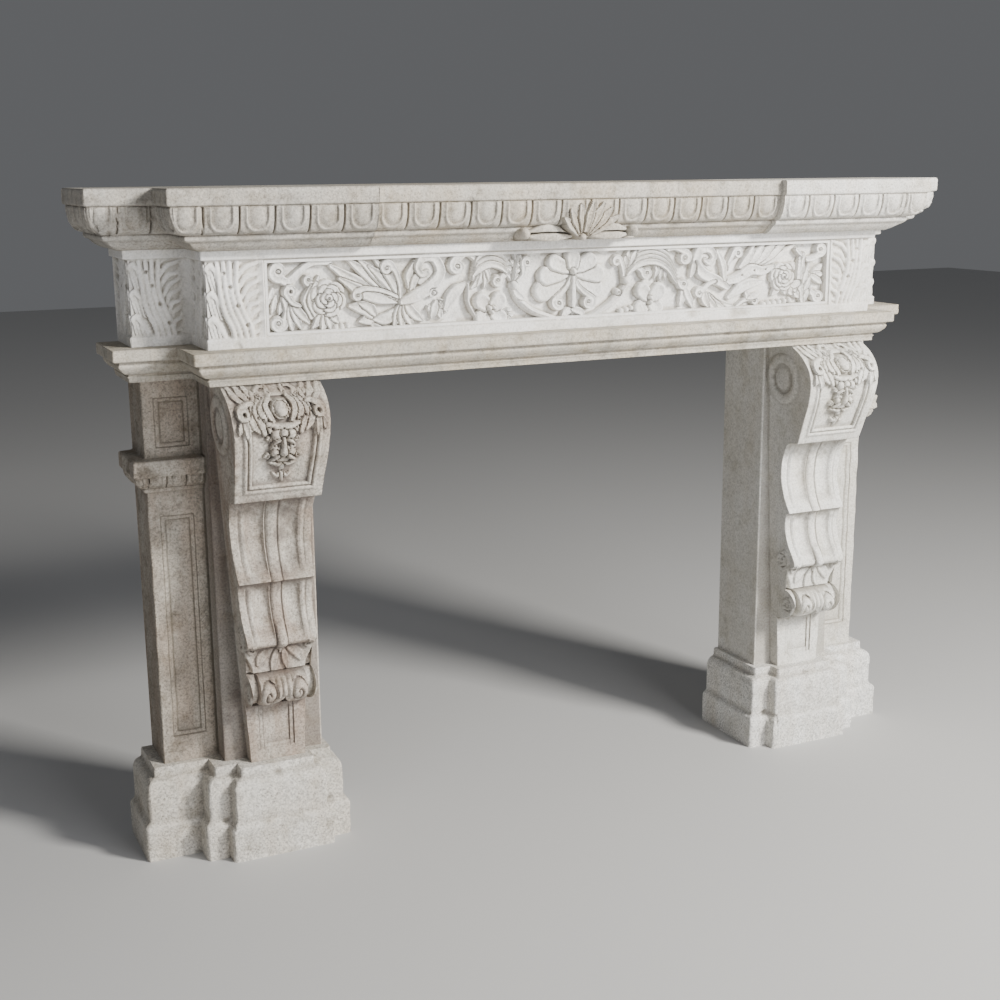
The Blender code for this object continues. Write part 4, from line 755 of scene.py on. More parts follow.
def consoleOrnament(a, d):
    # volutes, cabochon, drapery, mask and drop on the console's face; a from its middle, d down from its top
    carving = Relief(a, -d, cutting=0.5, bold=1.12)
    for side in (-1, 1):
        def at(x, down):
            return (side * x, -down)
        for root, tip, half in (((0.086, 0.064), (0.094, 0.094), 0.0062), ((0.074, 0.064), (0.065, 0.090), 0.0058),
                                ((0.080, 0.062), (0.075, 0.106), 0.0066)):
            blade(carving, at(*root), at(*tip), half, 0.012, hollow=0.40)
        # leafage falling from the top edge
        for path, half in ((((0.098, 0.002), (0.092, 0.018), (0.080, 0.030)), 0.0060),
                           (((0.082, 0.002), (0.076, 0.016), (0.062, 0.028)), 0.0060),
                           (((0.066, 0.002), (0.060, 0.014), (0.054, 0.030)), 0.0055),
                           (((0.020, 0.001), (0.017, 0.014), (0.024, 0.030)), 0.0052)):
            carving.stroke([at(*spot) for spot in path], (half * 0.6, half, half * 0.7), (0.007, 0.010, 0.010),
                           steps=5, hollow=0.25)
        curl(carving, at(0.041, 0.020), 0.0125, math.pi * (0.5 - 0.5 * side), -1.2 * side, 0.0040, 0.0125,
             tail=[at(0.024, 0.006), at(0.034, 0.006)])
        carving.stroke([at(0.052, 0.016), at(0.056, 0.034), at(0.064, 0.046), at(0.068, 0.060)],
                       (0.0040, 0.0055, 0.0050), (0.011, 0.013, 0.012), steps=5, hollow=0.2)
        # drapery beside the cabochon, gathered to a rolled lip
        for path, half, level in ((((0.058, 0.036), (0.062, 0.056), (0.060, 0.078), (0.050, 0.090)), 0.0070, 0.013),
                                  (((0.046, 0.030), (0.054, 0.050), (0.046, 0.074), (0.040, 0.096)), 0.0066, 0.014),
                                  (((0.030, 0.026), (0.044, 0.048), (0.032, 0.070), (0.028, 0.092)), 0.0064, 0.015),
                                  (((0.018, 0.020), (0.031, 0.040), (0.024, 0.064), (0.016, 0.080)), 0.0058, 0.016)):
            carving.stroke([at(*spot) for spot in path], (half * 0.6, half, half, half * 0.6),
                           (level * 0.85, level, level, level), steps=5, hollow=0.22)
        for x, down in ((0.030, 0.068), (0.041, 0.066), (0.052, 0.062)):
            carving.drill(at(x, down), 0.0030, 0.010)
        curl(carving, at(0.080, 0.053), 0.0195, math.pi * 0.5, -1.25 * side, 0.0058, 0.0185,
             tail=[at(0.058, 0.034), at(0.066, 0.033)], eye=0.0)
        carving.drill(at(0.080, 0.053), 0.0040, 0.014)
    carving.bud((0.0, -0.047), 0.0205, 0.0165, 1.0, shoulder=0.75)
    carving.bud((0.0, -0.047), 0.0150, 0.0225, 1.05)
    carving.stroke([(-0.034, -0.076), (-0.016, -0.082), (0.004, -0.083), (0.032, -0.076)], (0.0045, 0.0075, 0.0045),
                   (0.014, 0.018, 0.014), steps=5)
    # the mask
    carving.bud((0.0, -0.128), 0.0270, 0.014, 1.30, shoulder=0.55)
    for side in (-1, 1):
        def at(x, down):
            return (side * x, -down)
        curl(carving, at(0.029, 0.108), 0.0085, 0.0, 1.1 * side, 0.0030, 0.015)
        carving.bud(at(0.016, 0.099), 0.0110, 0.018, 1.05)
        carving.stroke([at(0.004, 0.112), at(0.014, 0.113), at(0.024, 0.121)], (0.0030, 0.0038, 0.0026),
                       (0.018, 0.019, 0.015), steps=4)
        carving.bud(at(0.0185, 0.139), 0.0088, 0.0175, 1.0)
        carving.drill(at(0.0118, 0.1225), 0.0040, 0.012)
        curl(carving, at(0.033, 0.146), 0.0085, math.pi * (0.5 - 0.5 * side), 1.1 * side, 0.0030, 0.013)
        carving.stroke([at(0.006, 0.143), at(0.016, 0.150), at(0.028, 0.158)], (0.0036, 0.0046, 0.0024),
                       (0.019, 0.018, 0.013), steps=4)
    carving.bud((0.0, -0.097), 0.0095, 0.020, 1.1)
    carving.stroke([(0.0, -0.108), (0.0, -0.124), (0.0, -0.140)], (0.0040, 0.0050, 0.0078), (0.019, 0.022, 0.024),
                   steps=4)
    carving.stroke([(-0.031, -0.161), (-0.010, -0.166), (0.010, -0.166), (0.028, -0.160)], (0.0026, 0.0042, 0.0026),
                   (0.013, 0.018, 0.013), steps=4)
    # the drop under it
    carving.stroke([(0.0, -0.171), (0.001, -0.180), (0.0, -0.186)], (0.0052, 0.0036, 0.0040), (0.010, 0.008, 0.009),
                   steps=4)
    for side in (-1, 1):
        carving.stroke([(0.0, -0.184), (side * 0.010, -0.193), (side * 0.019, -0.187)], (0.0030, 0.0042, 0.0026),
                       (0.009, 0.012, 0.009), steps=4)
    carving.stroke([(0.0, -0.188), (-0.001, -0.196), (-0.003, -0.205)], (0.0038, 0.0034, 0.0020),
                   (0.010, 0.009, 0.006), steps=4)
    return carving.height


def consoleFront(a, d, w):
    # height of the carving on the front; a across from its middle, d down from its top, w its half width
    edge = w - np.abs(a)
    share = np.abs(a) / w
    upper = d < 0.2525
    inside = np.minimum(np.minimum(edge, 0.2515 - d), d + 0.004)
    bead = 0.0042 * dome((inside - 0.0228) / 0.0044) + 0.0032 * dome((inside - 0.0335) / 0.0038)
    groove = -0.0028 * bell((inside - 0.0285) / 0.0014)
    field = -0.0050 * gentle(0.0365, 0.0385, inside)
    relief = np.where(upper, bead + groove + field, 0.0)
    ornament = consoleOrnament(a, d)
    relief = np.where(upper & (ornament > 0.001), np.maximum(relief, field + ornament), relief)
    # two tiers of hollow fluting either side of a rib, each closing in a lip
    for start, stop in console["tiers"]:
        tier = (d >= start - 0.001) & (d <= stop + 0.001)
        fading = gentle(start, start + 0.020, d) * (1 - gentle(stop - 0.040, stop - 0.004, d))
        scoop = dome((share - console["fluteAt"]) / console["fluteHalf"])
        rib = 0.0035 * dome(share / console["ribHalf"])
        border = 0.0022 * bell((share - 0.72) / 0.035) - 0.0022 * bell((share - 0.80) / 0.02)
        cutIn = -console["flute"] * scoop * fading + rib + border * fading
        crease = -0.0035 * bell((share - console["ribHalf"] - 0.035) / 0.016)
        relief = np.where(tier, cutIn + crease, relief)
    tongue = Relief(a, -d)
    tongue.stroke([(0.0, -0.545), (0.0, -0.575), (0.0, -0.602)], (0.010, 0.012, 0.009), (0.004, 0.007, 0.010),
                  steps=4)
    for side in (-1, 1):
        curl(tongue, (side * 0.064, -0.596), 0.0155, math.pi / 2, -1.2 * side, 0.0045, 0.009)
        blade(tongue, (side * 0.020, -0.600), (side * 0.050, -0.636), 0.012, 0.007, bow=0.12 * side)
        blade(tongue, (side * 0.008, -0.604), (side * 0.018, -0.652), 0.008, 0.008)
    relief = np.where((d > 0.540) & (tongue.height > 0), np.maximum(relief, 0) + tongue.height, relief)
    leafZone = (d > 0.592) & (d < 0.6555)
    half = w * (1.0 - 0.22 * gentle(0.596, 0.652, d))
    fall = gentle(0.0, 0.006, np.abs(a) - half)
    relief = np.where(leafZone, relief - 0.012 * fall, relief)
    # the foot: two small volutes with flutes between them and leaf tips below
    foot = (d > 0.656) & (d < 0.7435)
    width = np.abs(a)
    u, v = (width - 0.034) / 0.0200, (d - 0.701) / 0.034
    r = np.hypot(u, v)
    coil = r / 0.74 - np.arctan2(v, u) / (2 * math.pi)
    volute = 0.0090 * dome(r) - 0.0075 * bell((coil % 1.0 - 0.5) / 0.15)
    reeds = 0.0060 * np.abs(np.cos(math.pi * a / 0.0125)) + 0.001
    worked = np.where(r < 1.0, volute, np.where(width < 0.030, reeds, 0.0)) * gentle(0.657, 0.666, d)
    lowest = np.maximum(0.709 + 0.3 * width, np.where(r < 1.02, 0.760, 0.0))
    worked = worked - 0.030 * gentle(0.0, 0.003, d - lowest) - 0.017 * gentle(0.0535, 0.0560, width)
    tips = Relief(a, -d)
    for side in (-1, 1):
        blade(tips, (side * -0.002, -0.706), (side * 0.027, -0.742), 0.0062, 0.009, bow=0.10 * side)
    worked = np.where((tips.height > 0) & (d > 0.700), tips.height - 0.003, worked)
    relief = np.where(foot, worked, relief)
    # the sunk panel below
    z = courses["leg"][1] - d
    panelIn = np.minimum(np.minimum(z - console["footPanelBottom"], console["footPanelTop"] - z),
                         console["footPanelHalf"] + 0.005 - np.abs(a))
    below = d > 0.7432
    relief = np.where(below & (panelIn > 0.0002), -0.0035, relief)
    return np.where(below & (panelIn > 0.0098), -0.0070, relief)


def consoleCheek(forward, z):
    # a rolled ring and two small scrolls on the cheek; forward is measured from the raised face
    top = courses["leg"][1]
    carving = Relief(forward, z)
    ring = np.hypot(forward - 0.034, z - top + 0.090)
    rolled = np.maximum(0.0050 * dome((ring - 0.052) / 0.012), 0.0034 * dome(ring / 0.030))
    carving.height = np.where(ring < 0.066, rolled, carving.height)
    curl(carving, (0.024, top - 0.578), 0.034, 1.2, -1.5, 0.006, 0.005)
    curl(carving, (0.046, top - 0.697), 0.030, 1.0, -1.6, 0.005, 0.005)
    return np.where((z < top - 0.004) & (z > top - 0.742) & (carving.height > 0.0008), carving.height, 0.0)


def cheekCuts(depth):
    # ways back from the front edge, close together near the edge and even behind it
    shares = np.linspace(0.0, 1.0, 26)[1:-1]
    return np.concatenate([np.broadcast_to(console["nearEdge"], (len(depth), 3)),
                           0.0072 + (depth[:, None] - 0.0072) * shares[None, :]], axis=1)


def buildJambs():
    c = console
    z, stand = consoleRows(0.0029)
    rows = len(z)
    height = courses["leg"]
    share = (z - height[0]) / (height[1] - height[0])
    half = c["footHalf"] + (c["topHalf"] - c["footHalf"]) * share
    faceY, marginY = courses["wall"] - c["face"], courses["wall"] - c["margin"]
    frontY = faceY - stand
    behind = cheekCuts(marginY - frontY)
    fromLeft = np.concatenate([np.broadcast_to(c["nearEdge"], (rows, 3)),
                               0.0065 + (2 * half[:, None] - 0.013) * np.linspace(0, 1, 106)[None, :],
                               2 * half[:, None] - c["nearEdge"][::-1][None, :]], axis=1)
    across = fromLeft - half[:, None]
    drop = np.broadcast_to((height[1] - z)[:, None], across.shape)
    front = consoleFront(across, drop, np.broadcast_to(half[:, None], across.shape))
    raised = np.broadcast_to(z[:, None], behind.shape)
    cheek = consoleCheek(stand[:, None] - behind, raised)
    worn = 0.0030 * (1.0 + 0.4 * unevenness(z, 0.0, 0.0, 0.04, 9))

    def rounding(apart):
        r = worn[:, None]
        return np.where(apart < r, r - np.sqrt(np.clip(r ** 2 - np.clip(r - apart, 0, None) ** 2, 0, None)), 0.0)

    front = front - rounding(np.minimum(fromLeft, 2 * half[:, None] - fromLeft))
    cheek = cheek - rounding(behind)
    for side, hand, title in pair:
        wave = 0.0005 * unevenness(across * side, side * 3.0, drop, 0.03, 11) \
            + 0.0003 * unevenness(across, side * 2.0, drop, 0.009, 12)
        worked = front + wave - 0.0006
        columns = []

        def column(x, y):
            line = np.zeros((rows, 3))
            line[:, 0], line[:, 1], line[:, 2] = x, y, z
            columns.append(line)

        def roundedArris(x, way):
            for s, e in ((0.0050, 0.0), (0.0028, 0.0004), (0.0010, 0.0010)):
                column(x + way * e, marginY + s)
            for s, e in ((0.0028, 0.0004), (0.0050, 0.0)):
                column(x + way * s, marginY + e)

        column(c["inner"], courses["wall"])
        column(c["inner"], (courses["wall"] + marginY) / 2)
        roundedArris(c["inner"], 1)
        column(c["x"] - half - 0.0015, marginY)
        for k in range(behind.shape[1] - 1, -1, -1):
            column(c["x"] - half - cheek[:, k], frontY + behind[:, k])
        column(c["x"] - half + worn * 0.293, frontY + worn * 0.293)
        for k in range(across.shape[1]):
            column(c["x"] + across[:, k], frontY - worked[:, k])
        column(c["x"] + half - worn * 0.293, frontY + worn * 0.293)
        for k in range(behind.shape[1]):
            column(c["x"] + half + cheek[:, k], frontY + behind[:, k])
        column(c["x"] + half + 0.0015, marginY)
        count = len(columns)
        roundedArris(c["outer"], -1)
        columns[count:] = columns[count:][::-1]
        column(c["outer"], (courses["wall"] + marginY) / 2)
        column(c["outer"], courses["wall"])
        points = np.stack(columns, axis=1)
        hollow = np.zeros((rows, len(columns)))

        def soilAndShade(part, amount):
            hollow[:, part] = np.maximum(hollow[:, part], amount)

        # the columns run: margin, inner cheek, arris, front, arris, outer cheek, margin
        sides, width = behind.shape[1], across.shape[1]
        innerCheek = slice(8, 8 + sides)
        face = slice(innerCheek.stop + 1, innerCheek.stop + 1 + width)
        outerCheek = slice(face.stop + 1, face.stop + 1 + sides)
        hollow[:, innerCheek] = hollows(cheek[:, ::-1], 5, 3, 0.003)
        hollow[:, face] = hollows(front + 0.5 * stand[:, None], 5, 3, 0.004)
        hollow[:, outerCheek] = hollows(cheek, 5, 3, 0.003)
        ragged = 1.0 + 0.35 * unevenness(across * side, 0.0, drop, 0.02, 14)
        # painted shadow: a dark band fading down below each lip, under the head and the tiers
        for lip, fades in c["lips"]:
            under = bell(np.clip(drop - lip - 0.001, 0, None) / fades * ragged) * (drop > lip - 0.001)
            soilAndShade(face, 0.95 * under)
        share = np.abs(across) / half[:, None]
        # painted shade in the crease beside the rib of each tier
        soilAndShade(face, 0.85 * (bell((share - 0.150) / 0.022) * ((drop > 0.2535) & (drop < 0.588))))
        # painted shade in the grooves of the sunk panel at the foot
        panel = np.minimum(np.abs(np.abs(across) - 0.0405), np.abs(np.abs(across) - 0.0308)) < 0.0011
        hollow[:, face] = np.where(panel & (drop > 0.7432) & (z[:, None] > c["footPanelBottom"]), 0.85,
                                   hollow[:, face])
        # painted shade: the right jamb's inner cheek and margin, facing away from the key light, are darkened; the
        # left console gets real stains
        if side > 0:
            soilAndShade(slice(0, face.start), c["cheekShade"])
        else:
            for x, down, size, deep in c["stains"]:
                apart = np.hypot(across - x, (drop - down) * 0.8) / size * ragged
                soilAndShade(face, min(1.6 * deep, 0.9) * bell(apart))
        # painted shade in the corners where the cheeks meet the margins, and a dark joint at the outer arris
        soilAndShade(slice(6, 9), 0.75)
        soilAndShade(slice(outerCheek.stop - 1, outerCheek.stop + 2), 0.75)
        soilAndShade(slice(-6, -2), 0.85)
        wrapStone(f"jamb_{hand}_stone", points, hollow, stones["jamb" + title],
                  [f"jamb_{hand}"], side)


buildJambs()
print("stage: jambs and consoles carved")


# egg moulding, for the shelf and the pilaster caps
def eggMoulding(offset, up, pitch, size):
    # blocks parted by narrow grooves, each with a U-shaped bead round an egg; size scales the relief
    groove = -0.0085 * bell(np.abs(np.abs(offset) - pitch / 2) / (pitch * 0.026), 2.5)
    rim = np.hypot(np.abs(offset) / (pitch * 0.318), np.clip(0.54 - up, 0.0, 1.0) / 0.43)
    ring = 0.0040 * dome((rim - 1.0) / 0.13)
    well = -0.0046 * gentle(0.0, 0.06, 0.92 - rim)
    egg = np.hypot(offset / (pitch * 0.242), (up - 0.56) / np.where(up > 0.56, 0.80, 0.385))
    yolk = 0.0086 * np.clip(1 - egg ** 2.6, 0, 1) ** 0.5
    return size * (groove + np.maximum(ring, well + yolk)) * gentle(0.0, 0.05, up) * (1 - gentle(0.97, 1.0, up))


def eggCuts(length, count, plain=False):
    # columns that follow the eggs of one edge; plain takes fewer of them
    pitch = length / count
    marks = (0.07, 0.15, 0.21, 0.245, 0.28, 0.318, 0.356, 0.42, 0.475, 0.5) if plain else \
        (0.04, 0.10, 0.16, 0.21, 0.236, 0.254, 0.272, 0.290, 0.304, 0.318, 0.332, 0.352, 0.40, 0.462, 0.484, 0.5)
    cuts = []
    for k in range(count):
        middle = (k + 0.5) * pitch
        cuts += [middle + pitch * share * sign for share in marks for sign in (-1, 1) if sign > 0 or share < 0.5]
    return sorted(cut for cut in cuts if 0.001 < cut < length - 0.001)


# pilasters
pilaster = {"start": 0.8493, "outer": 0.9773, "reach": 0.126, "overhang": 0.032, "eggs": 3,
            "capBottom": 0.635, "eggsBottom": 0.644, "slabBottom": 0.674, "slabTop": 0.710,
            "panelMargin": 0.026, "panelLine": 0.0095, "panelDepth": 0.0065,
            "panelCuts": (-0.0006, 0.0010, 0.0040, 0.0088, 0.0104, 0.014)}


def buildPilasters():
    p = pilaster
    width = p["outer"] - p["start"]
    height = courses["leg"][1] - courses["leg"][0]
    lines = [p["panelMargin"] + s for s in p["panelCuts"]]
    front = mixCuts(lines + [width - line for line in lines], eggCuts(width, p["eggs"], True), 0.0006)
    sideEggs = eggCuts(p["reach"], 3, True)
    plan = StonePlan([(p["start"], 0.0), (p["start"], p["reach"]), (p["outer"], p["reach"]), (p["outer"], 0.0)],
                     [[], front, sideEggs], stepped=[0, 1, 1], worn=0.004, seed=6)
    cap = [(p["capBottom"] - 0.004, 0.0), (p["capBottom"], 0.0), (p["capBottom"] + 0.0006, -0.006),
           (p["eggsBottom"] - 0.001, -0.008), (p["eggsBottom"], -0.005)]
    for up in np.linspace(0.0, 1.0, 9):
        cap.append((p["eggsBottom"] + 0.001 + up * (p["slabBottom"] - p["eggsBottom"] - 0.003),
                    -p["overhang"] * (0.20 + 0.55 * math.sqrt(1 - (1 - up) ** 2))))
    cap += [(p["slabBottom"], -p["overhang"] + 0.002), (p["slabBottom"] + 0.0025, -p["overhang"]),
            (p["slabTop"] - 0.0025, -p["overhang"]), (p["slabTop"], -p["overhang"] + 0.0025),
            (p["slabTop"] + 0.0015, -0.002), (p["slabTop"] + 0.004, 0.0)]
    capRows = wornProfile(cap, 0.0022, 1)
    panels = ((0.060, p["capBottom"] - 0.056), (p["slabTop"] + 0.022, height - 0.039))
    plain = []
    for low, high in panels:
        plain += [low + s for s in p["panelCuts"]] + [high - s for s in p["panelCuts"]]
    shaft = mixCuts([z for z in plain if z < capRows[0, 0]], evenCuts(0.0, capRows[0, 0], 0.010))
    block = mixCuts([z for z in plain if z > capRows[-1, 0]], evenCuts(capRows[-1, 0], height, 0.010))
    rows = [(0.0, 0.0)] + [(z, 0.0) for z in shaft] + [tuple(row) for row in capRows] \
        + [(z, 0.0) for z in block] + [(height, 0.0)]
    rows = np.array(rows)
    along = plan.positions(rows[:, 1])
    up = (rows[:, 0] - p["eggsBottom"]) / (p["slabBottom"] - p["eggsBottom"])
    relief = np.zeros(along.shape)
    for edge, length in ((1, width), (2, p["reach"])):
        pitch = length / p["eggs"]
        eggs = eggMoulding(along % pitch - pitch / 2, up[:, None], pitch, 0.85)
        eggs = eggs * gentle(0.002, 0.007, np.minimum(*plan.apart(rows[:, 1])))
        relief += np.where((plan.edge == edge) & (up[:, None] > 0) & (up[:, None] < 1), eggs, 0.0)
    jointsAndGrooveShade = np.where((plan.edge == 1) & (along < 0.004), 0.9, 0.0)
    for low, high in panels:
        inside = np.minimum(rows[:, 0:1] - low, high - rows[:, 0:1])
        inside = np.minimum(inside, np.minimum(along - p["panelMargin"], width - p["panelMargin"] - along))
        sunk = -0.5 * p["panelDepth"] * (gentle(0, 0.001, inside) + gentle(0.0, 0.001, inside - p["panelLine"]))
        sunk += 0.0012 * bell((inside - 0.0035) / 0.002)
        relief += np.where(plan.edge == 1, sunk, 0.0)
        # painted shade in the two grooves of each sunk panel
        crease = np.minimum(np.abs(inside - 0.0010), np.abs(inside - 0.0104)) < 0.0004
        jointsAndGrooveShade = np.where((plan.edge == 1) & crease, 0.85, jointsAndGrooveShade)
    rows[:, 0] += courses["leg"][0]
    band = 0.30 * np.exp(-((rows[:, 0:1] - 0.705) / 0.010) ** 2 - ((along - 0.04) / 0.06) ** 2) * (plan.edge == 1)
    for side, hand, title in pair:
        bites = [(side * 0.99, courses["leg"][0] + 0.690, 0.018, 0.006),
                 (side * 0.92, courses["leg"][0] + 0.676, 0.012, 0.004)]
        # grime and painted shade: the joint line, the shaded panel grooves, and on the left a darker band low on the
        # front
        plainStone(f"pilaster_{hand}_stone", plan, rows, 21 + side, side, stones["pilaster" + title],
                   [f"pilaster_{hand}"], relief=relief, bites=bites,
                   grimeAndShade=np.maximum(jointsAndGrooveShade, band) if side < 0 else jointsAndGrooveShade)


buildPilasters()
print("stage: pilasters panelled")


# architrave
architrave = {"half": 1.0413, "reach": 0.329, "endReach": 0.185, "breakBack": 0.136, "worn": 0.004}


def steppedFront(half, reach, breakBack, endReach):
    # corners of a course that is set back at both ends
    return [(-half, 0.0), (-half, endReach), (-half + breakBack, endReach), (-half + breakBack, reach),
            (half - breakBack, reach), (half - breakBack, endReach), (half, endReach), (half, 0.0)]


def buildArchitrave():
    m = architrave
    corners = steppedFront(m["half"], m["reach"], m["breakBack"], m["endReach"])
    cuts = [evenCuts(0, length, 0.010) for length in edgeLengths(corners)]
    plan = StonePlan(corners, cuts, worn=m["worn"], seed=8)
    low = courses["architrave"][0]
    path = [(0.0, 0.0385), (0.002, 0.0375), (0.010, 0.0365), (0.0125, 0.0330), (0.0135, 0.0375), (0.0185, 0.0370)]
    for up in np.linspace(0.0, 1.0, 8):
        path.append((0.0195 + up * 0.021, 0.0125 + 0.0150 * (1.0 - math.sin(up * math.pi / 2))))
    path += [(0.0415, 0.0150), (0.0470, 0.0140), (0.0480, 0.0020), (0.0505, 0.0), (0.0720, 0.0), (0.0740, 0.0015)]
    rows = wornProfile(path, 0.0018, 2)
    rows[:, 0] += low
    bites = [(0.40, low + 0.048, 0.010, 0.003),
             (-0.35, low + 0.049, 0.012, 0.003), (0.72, low + 0.073, 0.012, 0.003)]
    plainStone("architrave_stone", plan, rows, 31, 1, stones["architrave"], ["architrave"],
               bites=bites, rough=0.0005)


buildArchitrave()
print("stage: architrave run")


# frieze
frieze = {"half": 1.0003, "reach": 0.281, "endReach": 0.147, "breakBack": 0.131, "fillet": 0.020,
          "proud": 0.007, "panelHalf": 0.735, "ground": 0.024, "frameWidth": 0.0095,
          "leafMargin": 0.006, "leafDepth": 0.011, "foliage": 0.0270,
          "frameCuts": (0.0006, 0.0028, 0.0036, 0.0090, 0.0098, 0.0110)}


def leafBlock(relief, start, width, flip):
    # upright leafage on a corner block: leaning ribs, curled lobes, leaves like flames and drilled eyes
    low = courses["frieze"][0] + frieze["fillet"] + 0.001
    tall = courses["frieze"][1] - frieze["fillet"] - 0.001 - low
    wide = width / 0.112
    deep = frieze["leafDepth"]

    def at(a, u):
        return (start + width * (1.0 - a if flip else a), low + tall * u)

    def stroke(spots, half, level, hollow=0.12, shoulder=0.25):
        relief.stroke([at(*spot) for spot in spots], [h * wide for h in half], [deep * share for share in level],
                      steps=5, hollow=hollow, shoulder=shoulder)

    # leaves like flames beyond the ribs, climbing outwards
    stroke([(0.93, -0.02), (0.90, 0.30), (0.87, 0.70), (0.84, 1.00)], (0.0170, 0.0190, 0.0200), (0.25, 0.25, 0.25),
           hollow=0.0)
    for k in range(12):
        u = -0.40 + 0.122 * k
        foot = 0.84 - 0.032 * k
        drift = 0.02 * math.sin(2.1 * k)
        stroke([(foot, u), (foot + 0.07, u + 0.10), (0.45 * foot + 0.50, u + 0.21), (0.955, u + 0.27 + drift),
                (0.99, u + 0.40 + drift)], (0.0024, 0.0046, 0.0054, 0.0040, 0.0018),
               (0.62, 0.66 + 0.30 * (k % 2), 0.80 + 0.36 * (k % 2), 0.60), hollow=0.2)
    # reeds and curled lobes on the near edge
    for u in (0.30, 0.62, 0.97):
        for k, a in enumerate((0.03, 0.10, 0.18, 0.26)):
            stroke([(a + 0.10, u - 0.36), (a + 0.04, u - 0.20), (a, u - 0.04 - 0.02 * k)],
                   (0.0034, 0.0046, 0.0034), (0.6, 0.8, 0.8))
        stroke([(0.36, u - 0.30), (0.24, u - 0.14), (0.12, u - 0.04), (0.04, u - 0.07), (0.06, u - 0.13)],
               (0.0040, 0.0060, 0.0064, 0.0040), (0.8, 1.0, 1.1, 0.9))
    # the ribs
    for k, (foot, middle, over, top) in enumerate(((0.52, 0.34, 0.28, 0.24), (0.62, 0.45, 0.38, 0.36),
                                                   (0.73, 0.56, 0.47, 0.47), (0.84, 0.66, 0.57, 0.60))):
        stroke([(foot, -0.02), (foot - 0.05, 0.14), (middle, 0.36), (over, 0.64), (top, 0.99)],
               (0.0058, 0.0070, 0.0066, 0.0052), (1.0, 1.25, 1.2, 1.0), hollow=0.05, shoulder=0.15)
    for a, u in ((0.36, 0.84), (0.46, 0.66), (0.58, 0.42), (0.74, 0.17)):
        relief.drill(at(a, u), 0.0044 * wide, 0.011)


def heartOfPanel(relief, side):
    # the lobed flower in the middle of the panel, shared by both halves
    deep = frieze["foliage"]

    def at(x, v):
        return np.array([side * x, v])

    hub = at(0.004, 0.029)
    for x, v, width, level in ((-0.072, -0.014, 0.0215, 0.78), (0.060, -0.012, 0.0215, 0.78),
                               (-0.064, 0.020, 0.0190, 0.86), (0.066, 0.022, 0.0190, 0.86),
                               (-0.044, 0.050, 0.0165, 0.92), (0.048, 0.052, 0.0165, 0.92),
                               (0.003, 0.060, 0.0165, 1.0)):
        petal(relief, hub + (at(x, v) - hub) * 0.06, at(x, v), width, deep * level, hollow=0.30, ridge=0.04)
    for x, sign in ((-0.034, -1), (0.044, 1)):
        curl(relief, at(x, -0.042), 0.020, math.pi * (0.5 - 0.35 * sign * side), -1.5 * sign * side, 0.0062, deep,
             tail=[hub + at(0.002 * sign, -0.006), at(x * 0.45, -0.008)])
    relief.stroke([hub, at(0.004, -0.020), at(0.005, -0.064)], (0.0035, 0.0062, 0.0050),
                  (deep * 0.95, deep * 0.9, deep * 0.8), steps=5, hollow=0.1)
    for sign in (-1, 1):
        blade(relief, at(0.006, -0.060), at(0.006 + 0.030 * sign, -0.080), 0.0075, deep * 0.75,
              bow=0.18 * sign * side)
    relief.bud(hub, 0.0085, deep * 1.05)


